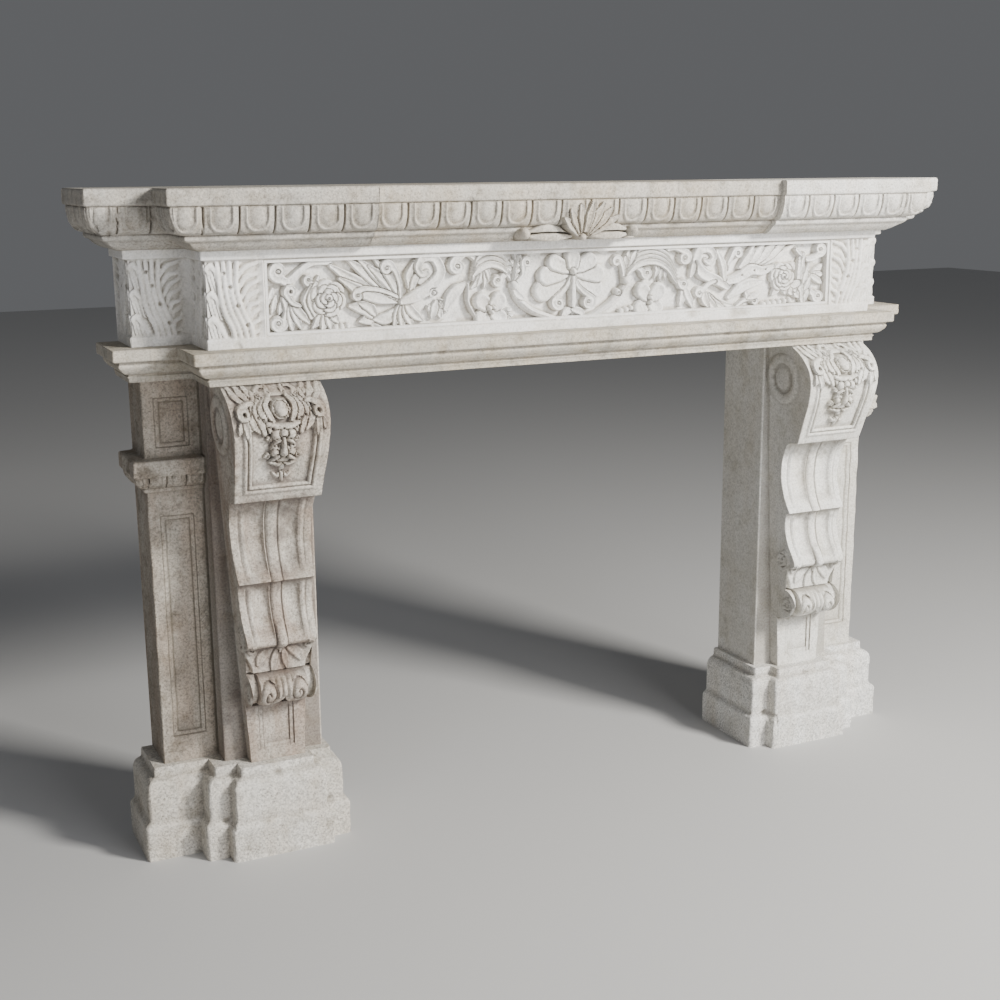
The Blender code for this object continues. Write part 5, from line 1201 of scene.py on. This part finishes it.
def foliageLeft(relief):
    # the left half, u outwards from the middle of the panel and v up from its centre line
    deep = frieze["foliage"]
    # outer end: scrolls in the corners, a curled leaf and its spray
    for foot, tip in (((0.712, 0.018), (0.722, -0.014)), ((0.706, 0.002), (0.716, -0.034)),
                      ((0.690, -0.006), (0.700, -0.036))):
        blade(relief, foot, tip, 0.0055, deep * 0.6)
    curl(relief, (0.704, -0.055), 0.022, math.pi * 0.95, 1.35, 0.0072, deep * 0.85,
         tail=[(0.690, -0.004), (0.684, -0.028)])
    curl(relief, (0.700, 0.054), 0.025, -math.pi * 0.6, 1.35, 0.0080, deep * 0.9,
         tail=[(0.583, 0.069), (0.625, 0.069), (0.655, 0.052), (0.680, 0.032)])
    for tip, level in (((0.672, -0.074), 0.72), ((0.652, -0.070), 0.78), ((0.634, -0.058), 0.72)):
        blade(relief, (0.672, -0.006), tip, 0.0080, deep * level, bow=0.05)
    curl(relief, (0.675, 0.011), 0.017, -math.pi * 0.1, 1.25, 0.0062, deep * 0.95,
         tail=[(0.655, -0.020), (0.672, -0.012)])
    relief.drill((0.675, 0.011), 0.0030, 0.012)
    curl(relief, (0.634, 0.034), 0.014, -math.pi * 0.5, 1.2, 0.0050, deep * 0.85,
         tail=[(0.610, 0.040), (0.620, 0.026)])
    # the rose and what grows about it
    for foot, middle, tip in (((0.628, 0.020), (0.642, -0.010), (0.630, -0.046)),
                              ((0.618, 0.026), (0.632, -0.010), (0.616, -0.052))):
        relief.stroke([foot, middle, tip], (0.0040, 0.0068, 0.0040), (deep * 0.75,) * 3, hollow=0.3)
    for tip in ((0.626, -0.068), (0.606, -0.076), (0.586, -0.073), (0.568, -0.060)):
        blade(relief, (0.592, -0.030), tip, 0.0090, deep * 0.72)
    rose(relief, (0.590, -0.007), 0.036, deep)
    berries(relief, (0.574, -0.071), (0.548, -0.069), 3, 0.0078, deep * 0.6)
    for foot, tip, width in (((0.476, -0.066), (0.520, -0.060), 0.010), ((0.478, -0.056), (0.541, -0.026), 0.013),
                             ((0.482, -0.048), (0.520, -0.020), 0.010), ((0.490, -0.070), (0.470, -0.078), 0.007)):
        blade(relief, foot, tip, width, deep * 0.78, bow=0.12, hollow=0.45)
    blade(relief, (0.432, -0.040), (0.486, -0.058), 0.011, deep * 0.75, bow=-0.14)
    # the fan of long leaves
    node = (0.421, -0.020)
    for tip, width, level, bow in (((0.583, 0.062), 0.0135, 0.86, -0.05), ((0.563, 0.034), 0.0125, 0.88, -0.08),
                                   ((0.545, 0.075), 0.0120, 0.88, 0.00), ((0.518, 0.073), 0.0115, 0.90, 0.02),
                                   ((0.496, 0.058), 0.0110, 0.92, 0.05), ((0.482, 0.072), 0.0095, 0.92, 0.06)):
        blade(relief, node, tip, width, deep * level, bow=bow, hollow=0.42, ridge=0.05)
    curl(relief, (0.524, -0.004), 0.0155, math.pi * 0.55, -1.25, 0.0056, deep * 0.88,
         tail=[(0.424, -0.014), (0.466, 0.004), (0.505, 0.010)])
    curl(relief, (0.456, 0.053), 0.0200, math.pi * 0.98, -1.35, 0.0066, deep * 0.95,
         tail=[(0.424, -0.012), (0.426, 0.016), (0.434, 0.042)])
    # the great volute and its leaves
    for tip, width in (((0.440, -0.076), 0.0090), ((0.420, -0.080), 0.0095), ((0.396, -0.076), 0.0100),
                       ((0.372, -0.066), 0.0095)):
        blade(relief, (0.412, -0.022), tip, width, deep * 0.72, bow=0.08, hollow=0.42)
    relief.bud((0.363, 0.042), 0.032, deep * 0.48, shoulder=0.8)
    for foot, middle, tip in (((0.402, 0.010), (0.404, 0.036), (0.388, 0.064)),
                              ((0.398, 0.000), (0.390, 0.026), (0.376, 0.040))):
        relief.stroke([foot, middle, tip], (0.0050, 0.0075, 0.0040), (deep * 0.7, deep * 0.8, deep * 0.7), hollow=0.3)
    relief.stroke([(0.421, -0.022), (0.392, -0.012), (0.352, 0.010), (0.330, 0.040), (0.344, 0.070), (0.370, 0.072),
                   (0.384, 0.052), (0.374, 0.036), (0.362, 0.040)],
                  (0.0060, 0.0120, 0.0125, 0.0110, 0.0095, 0.0085, 0.0070, 0.0060, 0.0050),
                  (deep * 0.85, deep * 0.95, deep, deep, deep, deep * 0.95, deep * 0.9), steps=7, hollow=0.34)
    # bell leaf, blossom and the smaller scroll
    for centre, start, turns in (((0.326, -0.032), 0.4, 1.2), ((0.344, -0.006), -0.6, 1.2),
                                 ((0.348, -0.040), 0.2, -1.1)):
        curl(relief, centre, 0.0125, start, turns, 0.0048, deep * 0.78, eye=0.4)
    for tip in ((0.310, -0.050), (0.328, -0.062), (0.350, -0.062)):
        blade(relief, (0.338, -0.026), tip, 0.0080, deep * 0.66)
    blade(relief, (0.322, -0.036), (0.288, 0.004), 0.0110, deep * 0.70, bow=0.10)
    blade(relief, (0.316, -0.042), (0.268, 0.012), 0.0120, deep * 0.86, bow=-0.10, ridge=0.06)
    curl(relief, (0.288, 0.051), 0.0235, math.pi * 0.55, -1.35, 0.0070, deep * 0.95,
         tail=[(0.238, 0.055), (0.252, 0.072), (0.270, 0.077)])
    relief.stroke([(0.262, 0.010), (0.262, -0.030), (0.246, -0.062)], (0.0026, 0.0032, 0.0024), (deep * 0.7,) * 3)
    # the arching leaf, its hanging tips and the curl beneath
    for tip, width in (((0.254, -0.002), 0.0065), ((0.238, 0.004), 0.0065), ((0.221, -0.002), 0.0060),
                       ((0.208, 0.012), 0.0055)):
        blade(relief, (0.222, 0.052), tip, width, deep * 0.78, bow=-0.08)
    curl(relief, (0.189, 0.016), 0.0185, math.pi * 0.85, 1.3, 0.0060, deep * 0.88,
         tail=[(0.166, 0.052), (0.164, 0.034)])
    for middle, width, level in ((0.072, 0.0085, 0.86), (0.062, 0.0070, 0.92), (0.052, 0.0062, 0.97)):
        relief.stroke([(0.250, 0.022 + (0.072 - middle) * 0.3), (0.234, middle - 0.010), (0.208, middle),
                       (0.182, middle - 0.006), (0.160, middle - 0.024)],
                      (width * 0.5, width, width * 1.1, width, width * 0.5), (deep * level,) * 3, hollow=0.35)
    # the hanging flower
    for tip in ((0.150, -0.050), (0.146, -0.064), (0.154, -0.076), (0.166, -0.056)):
        blade(relief, (0.176, -0.064), tip, 0.0060, deep * 0.6)
    for tip, width, level in (((0.226, -0.068), 0.0165, 0.76), ((0.183, -0.069), 0.0165, 0.76),
                              ((0.228, -0.030), 0.0170, 0.88), ((0.186, -0.030), 0.0170, 0.88)):
        petal(relief, np.array((0.205, -0.048)) * 0.9 + np.array(tip) * 0.1, tip, width, deep * level, hollow=0.34)
    berries(relief, (0.211, -0.046), (0.200, -0.046), 2, 0.0062, deep)
    relief.bud((0.205, -0.055), 0.0062, deep)
    # the inner sprig and stem
    relief.stroke([(0.152, 0.004), (0.136, -0.030), (0.104, -0.056), (0.062, -0.072), (0.034, -0.080)],
                  (0.0052, 0.0072, 0.0066, 0.0045), (deep * 0.8,) * 3, ridge=0.10)
    blade(relief, (0.146, -0.004), (0.120, -0.030), 0.0075, deep * 0.7, bow=0.1)
    acanthus(relief, [(0.150, 0.006), (0.146, 0.034), (0.136, 0.070)], 4, 0.024, 0.0062, deep * 0.85)
    curl(relief, (0.114, 0.053), 0.0165, -math.pi * 0.2, 1.3, 0.0056, deep * 0.85,
         tail=[(0.140, 0.010), (0.124, 0.026)])
    relief.bud((0.148, 0.003), 0.0100, deep * 0.9)


def foliageRight(relief):
    # the right half: the same growth, cut by eye with its own small differences
    deep = frieze["foliage"]
    for tip in ((0.722, 0.020), (0.724, -0.004), (0.722, -0.028)):
        blade(relief, (0.686, -0.006), tip, 0.0070, deep * 0.6)
    curl(relief, (0.706, -0.058), 0.020, math.pi * 0.9, 1.35, 0.0068, deep * 0.85,
         tail=[(0.680, -0.020), (0.683, -0.045)])
    curl(relief, (0.708, 0.058), 0.021, -math.pi * 0.6, 1.3, 0.0070, deep * 0.88,
         tail=[(0.636, 0.060), (0.662, 0.036), (0.688, 0.036)])
    for u, v in ((0.662, 0.052), (0.676, 0.024), (0.684, -0.008), (0.678, -0.042)):
        blade(relief, (0.662, -0.074), (u, v), 0.0072, deep * 0.78, bow=0.07)
    blade(relief, (0.660, -0.074), (0.648, 0.040), 0.0085, deep * 0.86, bow=0.06, ridge=0.06)
    for tip in ((0.650, -0.060), (0.640, -0.040), (0.652, -0.020)):
        blade(relief, (0.622, -0.034), tip, 0.0085, deep * 0.72)
    # rose
    for tip in ((0.630, -0.052), (0.610, -0.050), (0.570, -0.050)):
        blade(relief, (0.598, -0.020), tip, 0.0090, deep * 0.66)
    for tip, bow in (((0.558, 0.028), 0.1), ((0.632, 0.026), -0.1)):
        blade(relief, (0.598, 0.000), tip, 0.0110, deep * 0.72, bow=bow)
    rose(relief, (0.597, -0.007), 0.032, deep, turn=0.9)
    berries(relief, (0.544, -0.075), (0.622, -0.066), 6, 0.0082, deep * 0.62)
    # spray of long leaves and the wavy leaf under it
    for tip, width, level in (((0.633, 0.072), 0.0100, 0.80), ((0.606, 0.078), 0.0115, 0.84),
                              ((0.572, 0.076), 0.0115, 0.87), ((0.538, 0.074), 0.0105, 0.90),
                              ((0.508, 0.073), 0.0090, 0.92)):
        blade(relief, (0.470, 0.022), tip, width, deep * level, bow=-0.06, hollow=0.42, ridge=0.05)
    relief.stroke([(0.430, -0.012), (0.466, -0.004), (0.500, 0.014), (0.535, 0.010), (0.566, 0.020)],
                  (0.0070, 0.0115, 0.0120, 0.0100, 0.0040), (deep * 0.86,) * 3, hollow=0.35)
    for u, v in ((0.476, 0.002), (0.512, 0.012), (0.545, 0.014)):
        relief.drill((u, v), 0.0032, 0.012)
    curl(relief, (0.460, 0.056), 0.0175, math.pi * 0.9, -1.3, 0.0060, deep * 0.92,
         tail=[(0.425, -0.006), (0.432, 0.026), (0.440, 0.044)])
    blade(relief, (0.440, -0.050), (0.538, -0.016), 0.0120, deep * 0.80, bow=0.10, ridge=0.06)
    curl(relief, (0.514, -0.062), 0.0150, math.pi * 0.8, -1.2, 0.0052, deep * 0.75,
         tail=[(0.462, -0.074), (0.484, -0.060)])
    for tip in ((0.490, -0.040), (0.530, -0.046)):
        blade(relief, (0.500, -0.056), tip, 0.0070, deep * 0.62)
    # hooked volute and the leaf that sweeps below it
    for tip, width in (((0.452, -0.072), 0.0100), ((0.430, -0.078), 0.0105), ((0.404, -0.076), 0.0105),
                       ((0.380, -0.070), 0.0095)):
        blade(relief, (0.366, -0.030), tip, width, deep * 0.76, bow=-0.12, hollow=0.42)
    relief.bud((0.372, 0.042), 0.028, deep * 0.48, shoulder=0.8)
    relief.stroke([(0.430, -0.026), (0.402, -0.008), (0.360, 0.010), (0.338, 0.038), (0.350, 0.066), (0.376, 0.068),
                   (0.390, 0.050), (0.378, 0.036), (0.366, 0.042)],
                  (0.0060, 0.0110, 0.0120, 0.0110, 0.0095, 0.0085, 0.0070, 0.0060, 0.0050),
                  (deep * 0.85, deep * 0.95, deep, deep, deep, deep * 0.95, deep * 0.9), steps=7, hollow=0.34)
    relief.stroke([(0.424, -0.006), (0.420, 0.030), (0.402, 0.062)], (0.0050, 0.0080, 0.0040), (deep * 0.75,) * 3,
                  hollow=0.3)
    curl(relief, (0.352, -0.036), 0.0165, math.pi * 0.2, 1.3, 0.0060, deep * 0.84,
         tail=[(0.398, -0.010), (0.378, -0.016)])
    # the node, the small scroll and the drop
    for tip in ((0.322, -0.052), (0.300, -0.066), (0.336, -0.070)):
        blade(relief, (0.312, -0.020), tip, 0.0085, deep * 0.68)
    curl(relief, (0.307, 0.050), 0.0220, math.pi * 0.5, -1.3, 0.0066, deep * 0.9,
         tail=[(0.262, 0.070), (0.282, 0.074)])
    blade(relief, (0.330, 0.004), (0.338, 0.040), 0.0070, deep * 0.7)
    curl(relief, (0.306, -0.012), 0.0160, math.pi, 1.3, 0.0058, deep * 0.9,
         tail=[(0.276, 0.030), (0.284, 0.004)])
    # the arching leaf
    for tip in ((0.258, 0.000), (0.242, -0.002), (0.226, 0.004)):
        blade(relief, (0.232, 0.050), tip, 0.0060, deep * 0.76, bow=0.08)
    curl(relief, (0.203, 0.018), 0.0180, math.pi * 0.9, 1.3, 0.0060, deep * 0.88,
         tail=[(0.170, 0.050), (0.176, 0.034)])
    for middle, width, level in ((0.071, 0.0080, 0.84), (0.062, 0.0070, 0.89), (0.053, 0.0064, 0.94),
                                 (0.044, 0.0056, 0.98)):
        relief.stroke([(0.142, middle - 0.036), (0.172, middle - 0.010), (0.214, middle), (0.254, middle - 0.014),
                       (0.284, middle - 0.052)], (width * 0.5, width, width * 1.1, width, width * 0.5),
                      (deep * level,) * 3, hollow=0.35)
    # flower, berries and the inner stem
    berries(relief, (0.136, -0.070), (0.164, -0.064), 3, 0.0070, deep * 0.6)
    for tip, width, level in (((0.190, -0.065), 0.0165, 0.76), ((0.232, -0.066), 0.0165, 0.76),
                              ((0.193, -0.024), 0.0170, 0.88), ((0.237, -0.026), 0.0170, 0.88)):
        petal(relief, np.array((0.213, -0.045)) * 0.9 + np.array(tip) * 0.1, tip, width, deep * level, hollow=0.34)
    relief.bud((0.213, -0.042), 0.0064, deep)
    relief.bud((0.212, -0.052), 0.0060, deep)
    for tip in ((0.176, 0.072), (0.156, 0.074), (0.146, 0.058)):
        blade(relief, (0.140, 0.026), tip, 0.0068, deep * 0.78)
    curl(relief, (0.121, 0.048), 0.0165, 0.2, 1.3, 0.0056, deep * 0.85, tail=[(0.140, 0.004), (0.140, 0.026)])
    relief.stroke([(0.148, -0.004), (0.128, -0.030), (0.100, -0.054), (0.066, -0.072), (0.036, -0.080)],
                  (0.0052, 0.0072, 0.0066, 0.0045), (deep * 0.8,) * 3, ridge=0.10)
    relief.bud((0.146, 0.001), 0.0100, deep * 0.9)
    relief.bud((0.124, -0.024), 0.0085, deep * 0.85)
    relief.drill((0.124, -0.024), 0.0030, 0.010)


def buildFoliage(side, hand, grow):
    # one half of the panel's carving, set in the sunk panel of the frieze stone
    f = frieze
    low, high = courses["frieze"][0] + f["fillet"], courses["frieze"][1] - f["fillet"]
    middle = (low + high) / 2
    u = np.linspace(0.0, f["panelHalf"] - 0.0015, 492)
    v = np.linspace(low - middle + 0.0012, high - middle - 0.0012, 114)
    across, up = np.meshgrid(u, v)
    relief = Relief(across, up, cutting=0.55, bold=1.18)
    grow(relief)
    heartOfPanel(relief, side)
    carved = relief.height > 0.0005
    tooled = 0.0004 * unevenness(across * side, up, side * 0.3, 0.010, 41) \
        + 0.0005 * unevenness(across * side, up, 0.0, 0.035, 42)
    height = np.where(carved, np.maximum(relief.height, 0.0) + tooled, 0.0)
    inside = np.minimum(f["panelHalf"] - across, np.minimum(up - v[0], v[-1] - up) + 0.0012)
    limit = f["ground"] + 0.0035 * gentle(0.0, 0.030, inside) - 0.003
    height = np.minimum(height, np.where(inside < f["frameWidth"], limit, 1.0))
    face = courses["wall"] - f["reach"] + f["proud"]
    points = np.stack([side * across, face + f["ground"] + 0.0008 - height, middle + up], axis=2)
    hollow = hollows(height, 4, 4, 0.006)
    reliefSlab(f"frieze_foliage_{hand}", points, hollow, face + f["ground"] + 0.006, stones["frieze"],
               ["frieze"])


def buildFrieze():
    f = frieze
    corners = steppedFront(f["half"], f["reach"], f["breakBack"], f["endReach"])
    side, short, back = f["endReach"], f["breakBack"], f["reach"] - f["endReach"]
    frontHalf = f["half"] - f["breakBack"]
    long = 2 * frontHalf
    panelStart = frontHalf - f["panelHalf"]
    step = 0.0025

    def leafCuts(width):
        return evenCuts(f["leafMargin"], width - f["leafMargin"], step)

    frame = [panelStart + s for s in (-0.0006, *f["frameCuts"])]
    front = mixCuts(frame + [long - s for s in frame],
                    leafCuts(panelStart) + evenCuts(panelStart + 0.012, long - panelStart - 0.012, 0.030)
                    + [long - cut for cut in leafCuts(panelStart)])
    plan = StonePlan(corners, [leafCuts(side), leafCuts(short), leafCuts(back), front, leafCuts(back),
                               leafCuts(short), leafCuts(side)], worn=0.0035, seed=12)
    low, high = f["fillet"], courses["frieze"][1] - courses["frieze"][0] - f["fillet"]
    firm = [low + s for s in (-0.0006, *f["frameCuts"])] + [high - s for s in f["frameCuts"]]
    levels = mixCuts(firm, evenCuts(0.002, high, 0.0023))
    total = courses["frieze"][1] - courses["frieze"][0]
    rows = [(0.0, f["proud"] + 0.001)] + [(z, f["proud"]) for z in levels if z < high - 0.0004]
    rows += [(high - 0.0002, f["proud"]), (high + 0.0008, 0.0012), (high + 0.0024, 0.0), (high + 0.006, 0.0),
             (high + 0.010, 0.0), (high + 0.014, 0.0), (total - 0.0022, 0.0), (total, 0.0012)]
    rows = np.array(rows)
    across = plan.positions(rows[:, 1])
    up = np.broadcast_to(rows[:, 0:1], across.shape)
    edges = np.broadcast_to(plan.edge, across.shape)
    inRows = (up > low + 0.0004) & (up < high - 0.0003)
    relief = np.zeros(across.shape)

    def cutBlock(edge, start, width, flip):
        carving = Relief(across, up + courses["frieze"][0], cutting=0.0)
        leafBlock(carving, start, width, flip)
        inside = np.minimum(np.minimum(across - start + 0.002, start + width + 0.002 - across),
                            np.minimum(up - low, high - up))
        field = (edges == edge) & inRows & (inside > 0)
        sunk = -np.minimum(f["leafDepth"], 0.001 + inside * 1.1)
        return field, np.maximum(carving.height - f["leafDepth"], sunk)

    # each block: its edge of the plan, where it starts, how wide it is and which way it leans
    margin = f["leafMargin"]
    for edge, start, width, flip in ((0, 0, side, True), (1, 0, short, False), (2, 0, back, True),
                                     (4, 0, back, False), (5, 0, short, True), (6, 0, side, False),
                                     (3, 0, panelStart, False), (3, long - panelStart, panelStart, True)):
        field, heights = cutBlock(edge, start + margin, width - 2 * margin, flip)
        relief = np.where(field, heights, relief)
    fromEdge = np.minimum(f["panelHalf"] - np.abs(across - frontHalf), np.minimum(up - low, high - up))
    panel = (edges == 3) & (fromEdge > 0.0)
    frameHeight = -0.0045 * bell((fromEdge - 0.0016) / 0.0012, 4) - 0.0022 * gentle(0.0004, 0.0030, fromEdge)
    relief = np.where(panel, frameHeight, relief)
    relief = np.where(panel & (fromEdge > 0.0094), -f["ground"], relief)
    rows[:, 0] += courses["frieze"][0]
    base = courses["frieze"][0]
    bites = [(0.328, base + 0.022, 0.016, 0.008), (0.452, base + 0.014, 0.014, 0.007),
             (0.486, base + 0.012, 0.012, 0.006), (0.597, base + 0.018, 0.012, 0.006),
             (-0.742, base + 0.190, 0.008, 0.004), (-0.80, base + 0.004, 0.012, 0.004),
             (0.15, base + 0.003, 0.010, 0.003), (-0.40, base + 0.004, 0.012, 0.003)]
    plainStone("frieze_stone_block", plan, rows, 51, 1, stones["frieze"], ["frieze"],
               relief=relief, bites=bites, rough=0.0004)
    buildFoliage(-1, "left", foliageLeft)
    buildFoliage(1, "right", foliageRight)


buildFrieze()
print("stage: frieze carved")


# shelf
shelf = {"reach": 0.385, "centreReach": 0.367, "endReach": 0.253, "joint": 0.512, "half": 1.0913,
         "breakBack": 0.137, "eggPitch": 0.0726, "ovolo": (0.034, 0.091), "worn": 0.005}


def shelfRows():
    # profile of the shelf: bed, cove, fillets, ovolo with the eggs, and the slab's edge
    path = [(0.0, 0.0780), (0.0015, 0.0745)]
    for up in np.linspace(0.0, 1.0, 8):
        path.append((0.0055 + up * 0.0132, 0.0520 + 0.0140 * (1.0 - up) ** 1.6))
    path += [(0.0192, 0.0490), (0.0206, 0.0485), (0.0214, 0.0420), (0.0225, 0.0405), (0.0318, 0.0375),
             (0.0326, 0.0420), (0.0336, 0.0420), (0.0340, 0.0345)]
    for up in np.linspace(0.0, 1.0, 14)[1:]:
        path.append((0.0340 + up * 0.0560, 0.0060 + 0.0280 * (1.0 - math.sqrt(1.0 - (1.0 - up) ** 2))))
    path += [(0.0906, 0.0085), (0.0918, 0.0085), (0.0926, 0.0010), (0.0940, 0.0), (0.1225, 0.0),
             (0.1255, 0.0012), (0.1268, 0.0040)]
    rows = wornProfile(path, 0.0026, 2)
    rows[:, 0] += courses["shelf"][0]
    return rows


def shelfStone(name, corners, eggs, stepped, side, material, seed, nodes, bites=()):
    rows = shelfRows()
    low = courses["shelf"][0]
    lengths = edgeLengths(corners)
    cuts = [eggCuts(length, count) if count else [] for length, count in zip(lengths, eggs)]
    plan = StonePlan(corners, cuts, stepped=stepped, worn=shelf["worn"], seed=seed)
    along = plan.positions(rows[:, 1])
    up = (rows[:, 0:1] - low - shelf["ovolo"][0]) / (shelf["ovolo"][1] - shelf["ovolo"][0])
    relief = np.zeros(along.shape)
    for edge, (length, count) in enumerate(zip(lengths, eggs)):
        if count:
            pitch = length / count
            eggsHere = eggMoulding(along % pitch - pitch / 2, up, pitch, 1.0)
            eggsHere = eggsHere * gentle(0.003, 0.011, np.minimum(*plan.apart(rows[:, 1])))
            relief += np.where((plan.edge == edge) & (up > 0) & (up < 1), eggsHere, 0.0)
    return plainStone(name, plan, rows, seed, side, material, nodes, relief=relief, bites=bites)


def buildFan():
    # the fan of leaves and its berried sprigs, over the mouldings in the middle of the shelf
    low = courses["shelf"][0]
    x = np.linspace(-0.190, 0.145, 190)
    v = np.linspace(0.001, 0.0905, 54)
    across, up = np.meshgrid(x, v)
    relief = Relief(across, up)
    back = courses["wall"] - shelf["centreReach"] + 0.068
    deep = 0.046
    for side, reach in ((-1, 0.158), (1, 0.118)):
        for root, tip, half, bow in (((0.036, 0.016), (reach - 0.010, 0.022), 0.0105, 0.10),
                                     ((0.026, 0.010), (reach - 0.006, 0.0115), 0.0105, -0.02)):
            foot = (side * root[0] - 0.012, root[1])
            blade(relief, foot, (side * tip[0], tip[1]), half, deep * 1.16, bow=bow * side, hollow=0.12)
        relief.bud((side * reach, 0.018), 0.0135, deep * 1.25, shoulder=0.6)
    foot = (-0.014, 0.004)
    tips = ((-0.066, 0.050), (-0.052, 0.068), (-0.028, 0.079), (0.000, 0.083), (0.028, 0.081), (0.050, 0.070),
            (0.066, 0.052))
    for k in (0, 6, 1, 5, 2, 4, 3):
        lift = 0.05 * (3 - abs(k - 3))
        relief.stroke([foot, (np.array(foot) + tips[k]) / 2, tips[k]], (0.0032, 0.0078, 0.0122, 0.0050),
                      (deep * (1.02 + lift), deep * (1.36 + lift), deep * (1.52 + lift)), steps=8, hollow=0.10,
                      ridge=0.02, shoulder=0.86, cut=0.012)
    relief.bud((foot[0], foot[1] + 0.004), 0.009, deep * 1.18, shoulder=0.8)
    height = np.where(relief.height > 0.001,
                      relief.height + 0.0004 * unevenness(across, up, 0.0, 0.012, 61), 0.0)
    points = np.stack([across, back - height, low + up], axis=2)
    reliefSlab("shelf_fan", points, hollows(height, 3, 3, 0.008), back + 0.004, stones["shelfCentre"],
               ["shelf_centre"])


def buildShelf():
    s = shelf
    centre = [(-s["joint"] + 0.0003, 0.0), (-s["joint"] + 0.0003, s["centreReach"]),
              (s["joint"] - 0.0003, s["centreReach"]), (s["joint"] - 0.0003, 0.0)]
    low = courses["shelf"][0]
    shelfStone("shelf_centre_stone", centre, [0, round(2 * s["joint"] / s["eggPitch"]), 0], [0, 1, 0], 1,
               stones["shelfCentre"], 71, ["shelf_centre"],
               bites=[(-0.30, low + 0.093, 0.010, 0.004), (0.22, low + 0.125, 0.012, 0.003)])
    end = [(s["joint"], 0.0), (s["joint"], s["reach"]), (s["half"] - s["breakBack"], s["reach"]),
           (s["half"] - s["breakBack"], s["endReach"]), (s["half"], s["endReach"]), (s["half"], 0.0)]
    eggs = [0] + [max(round(length / s["eggPitch"]), 1) for length in edgeLengths(end)[1:]]
    for side, hand, title in pair:
        bites = [(side * 1.07, low + 0.040, 0.014, 0.007), (side * 1.04, low + 0.036, 0.010, 0.005)]
        shelfStone(f"shelf_{hand}_stone", end, eggs, [0, 1, 1, 1, 1], side, stones["shelf" + title], 74 + side,
                   [f"shelf_{hand}"], bites=bites)
    buildFan()


buildShelf()
print("stage: shelf set")


# floor, light and camera
studio = {"floor": (0.50, 0.50, 0.495), "floorHalf": 14.0, "floorRough": 0.8, "sky": (0.86, 0.88, 0.92),
          "skyStrength": 0.14, "aim": (0.0, 0.0, 0.85), "eye": (-1.5851, -3.0395, 1.5345),
          "yaw": 0.4402, "pitch": 0.2273, "roll": -0.0083, "focal": 1437.07,    # focal length in pixels
          "picture": 1000.0, "sensor": 36.0,
          "lamps": {"key": ((2.5, -3.6, 3.3), 520.0, 1.0, (1.0, 0.97, 0.92)),    # place, power, size, colour
                    "fill": ((1.0, -5.2, 1.5), 170.0, 2.4, (0.98, 0.98, 1.0)),
                    "side": ((-2.6, -1.6, 1.2), 8.0, 0.8, (0.96, 0.96, 1.0))}}


def buildStudio():
    bm = bmesh.new()
    bmesh.ops.create_grid(bm, x_segments=1, y_segments=1, size=studio["floorHalf"])
    mesh = bpy.data.meshes.new("floor")
    bm.to_mesh(mesh)
    bm.free()
    floor = bpy.data.objects.new("floor", mesh)
    bpy.context.scene.collection.objects.link(floor)
    paint = bpy.data.materials.new("palePaint")
    paint.use_nodes = True
    shader = paint.node_tree.nodes["Principled BSDF"]
    shader.inputs["Base Color"].default_value = (*studio["floor"], 1.0)
    shader.inputs["Roughness"].default_value = studio["floorRough"]
    mesh.materials.append(paint)
    world = bpy.data.worlds.new("studio")
    bpy.context.scene.world = world
    world.use_nodes = True
    sky = world.node_tree.nodes["Background"]
    sky.inputs["Color"].default_value = (*studio["sky"], 1.0)
    sky.inputs["Strength"].default_value = studio["skyStrength"]
    for name, (spot, power, size, colour) in studio["lamps"].items():
        light = bpy.data.lights.new(name, "AREA")
        light.energy = power
        light.size = size
        light.color = colour
        lamp = bpy.data.objects.new(name, light)
        lamp.location = spot
        lamp.rotation_euler = (Vector(studio["aim"]) - Vector(spot)).to_track_quat("-Z", "Y").to_euler()
        bpy.context.scene.collection.objects.link(lamp)
    cy, sy = math.cos(studio["yaw"]), math.sin(studio["yaw"])
    cp, sp = math.cos(studio["pitch"]), math.sin(studio["pitch"])
    cr, sr = math.cos(studio["roll"]), math.sin(studio["roll"])
    ahead = Vector((sy * cp, cy * cp, -sp))
    right = Vector((cy, -sy, 0.0))
    above = right.cross(ahead)
    right, above = right * cr + above * sr, above * cr - right * sr
    view = bpy.data.cameras.new("view")
    view.sensor_fit = "HORIZONTAL"
    view.sensor_width = studio["sensor"]
    view.lens = studio["focal"] * studio["sensor"] / studio["picture"]
    view.clip_end = 60.0
    camera = bpy.data.objects.new("view", view)
    turned = Matrix((right, above, -ahead)).transposed().to_4x4()
    camera.matrix_world = Matrix.Translation(studio["eye"]) @ turned
    bpy.context.scene.collection.objects.link(camera)
    bpy.context.scene.camera = camera


buildStudio()
print("stage: studio lit")
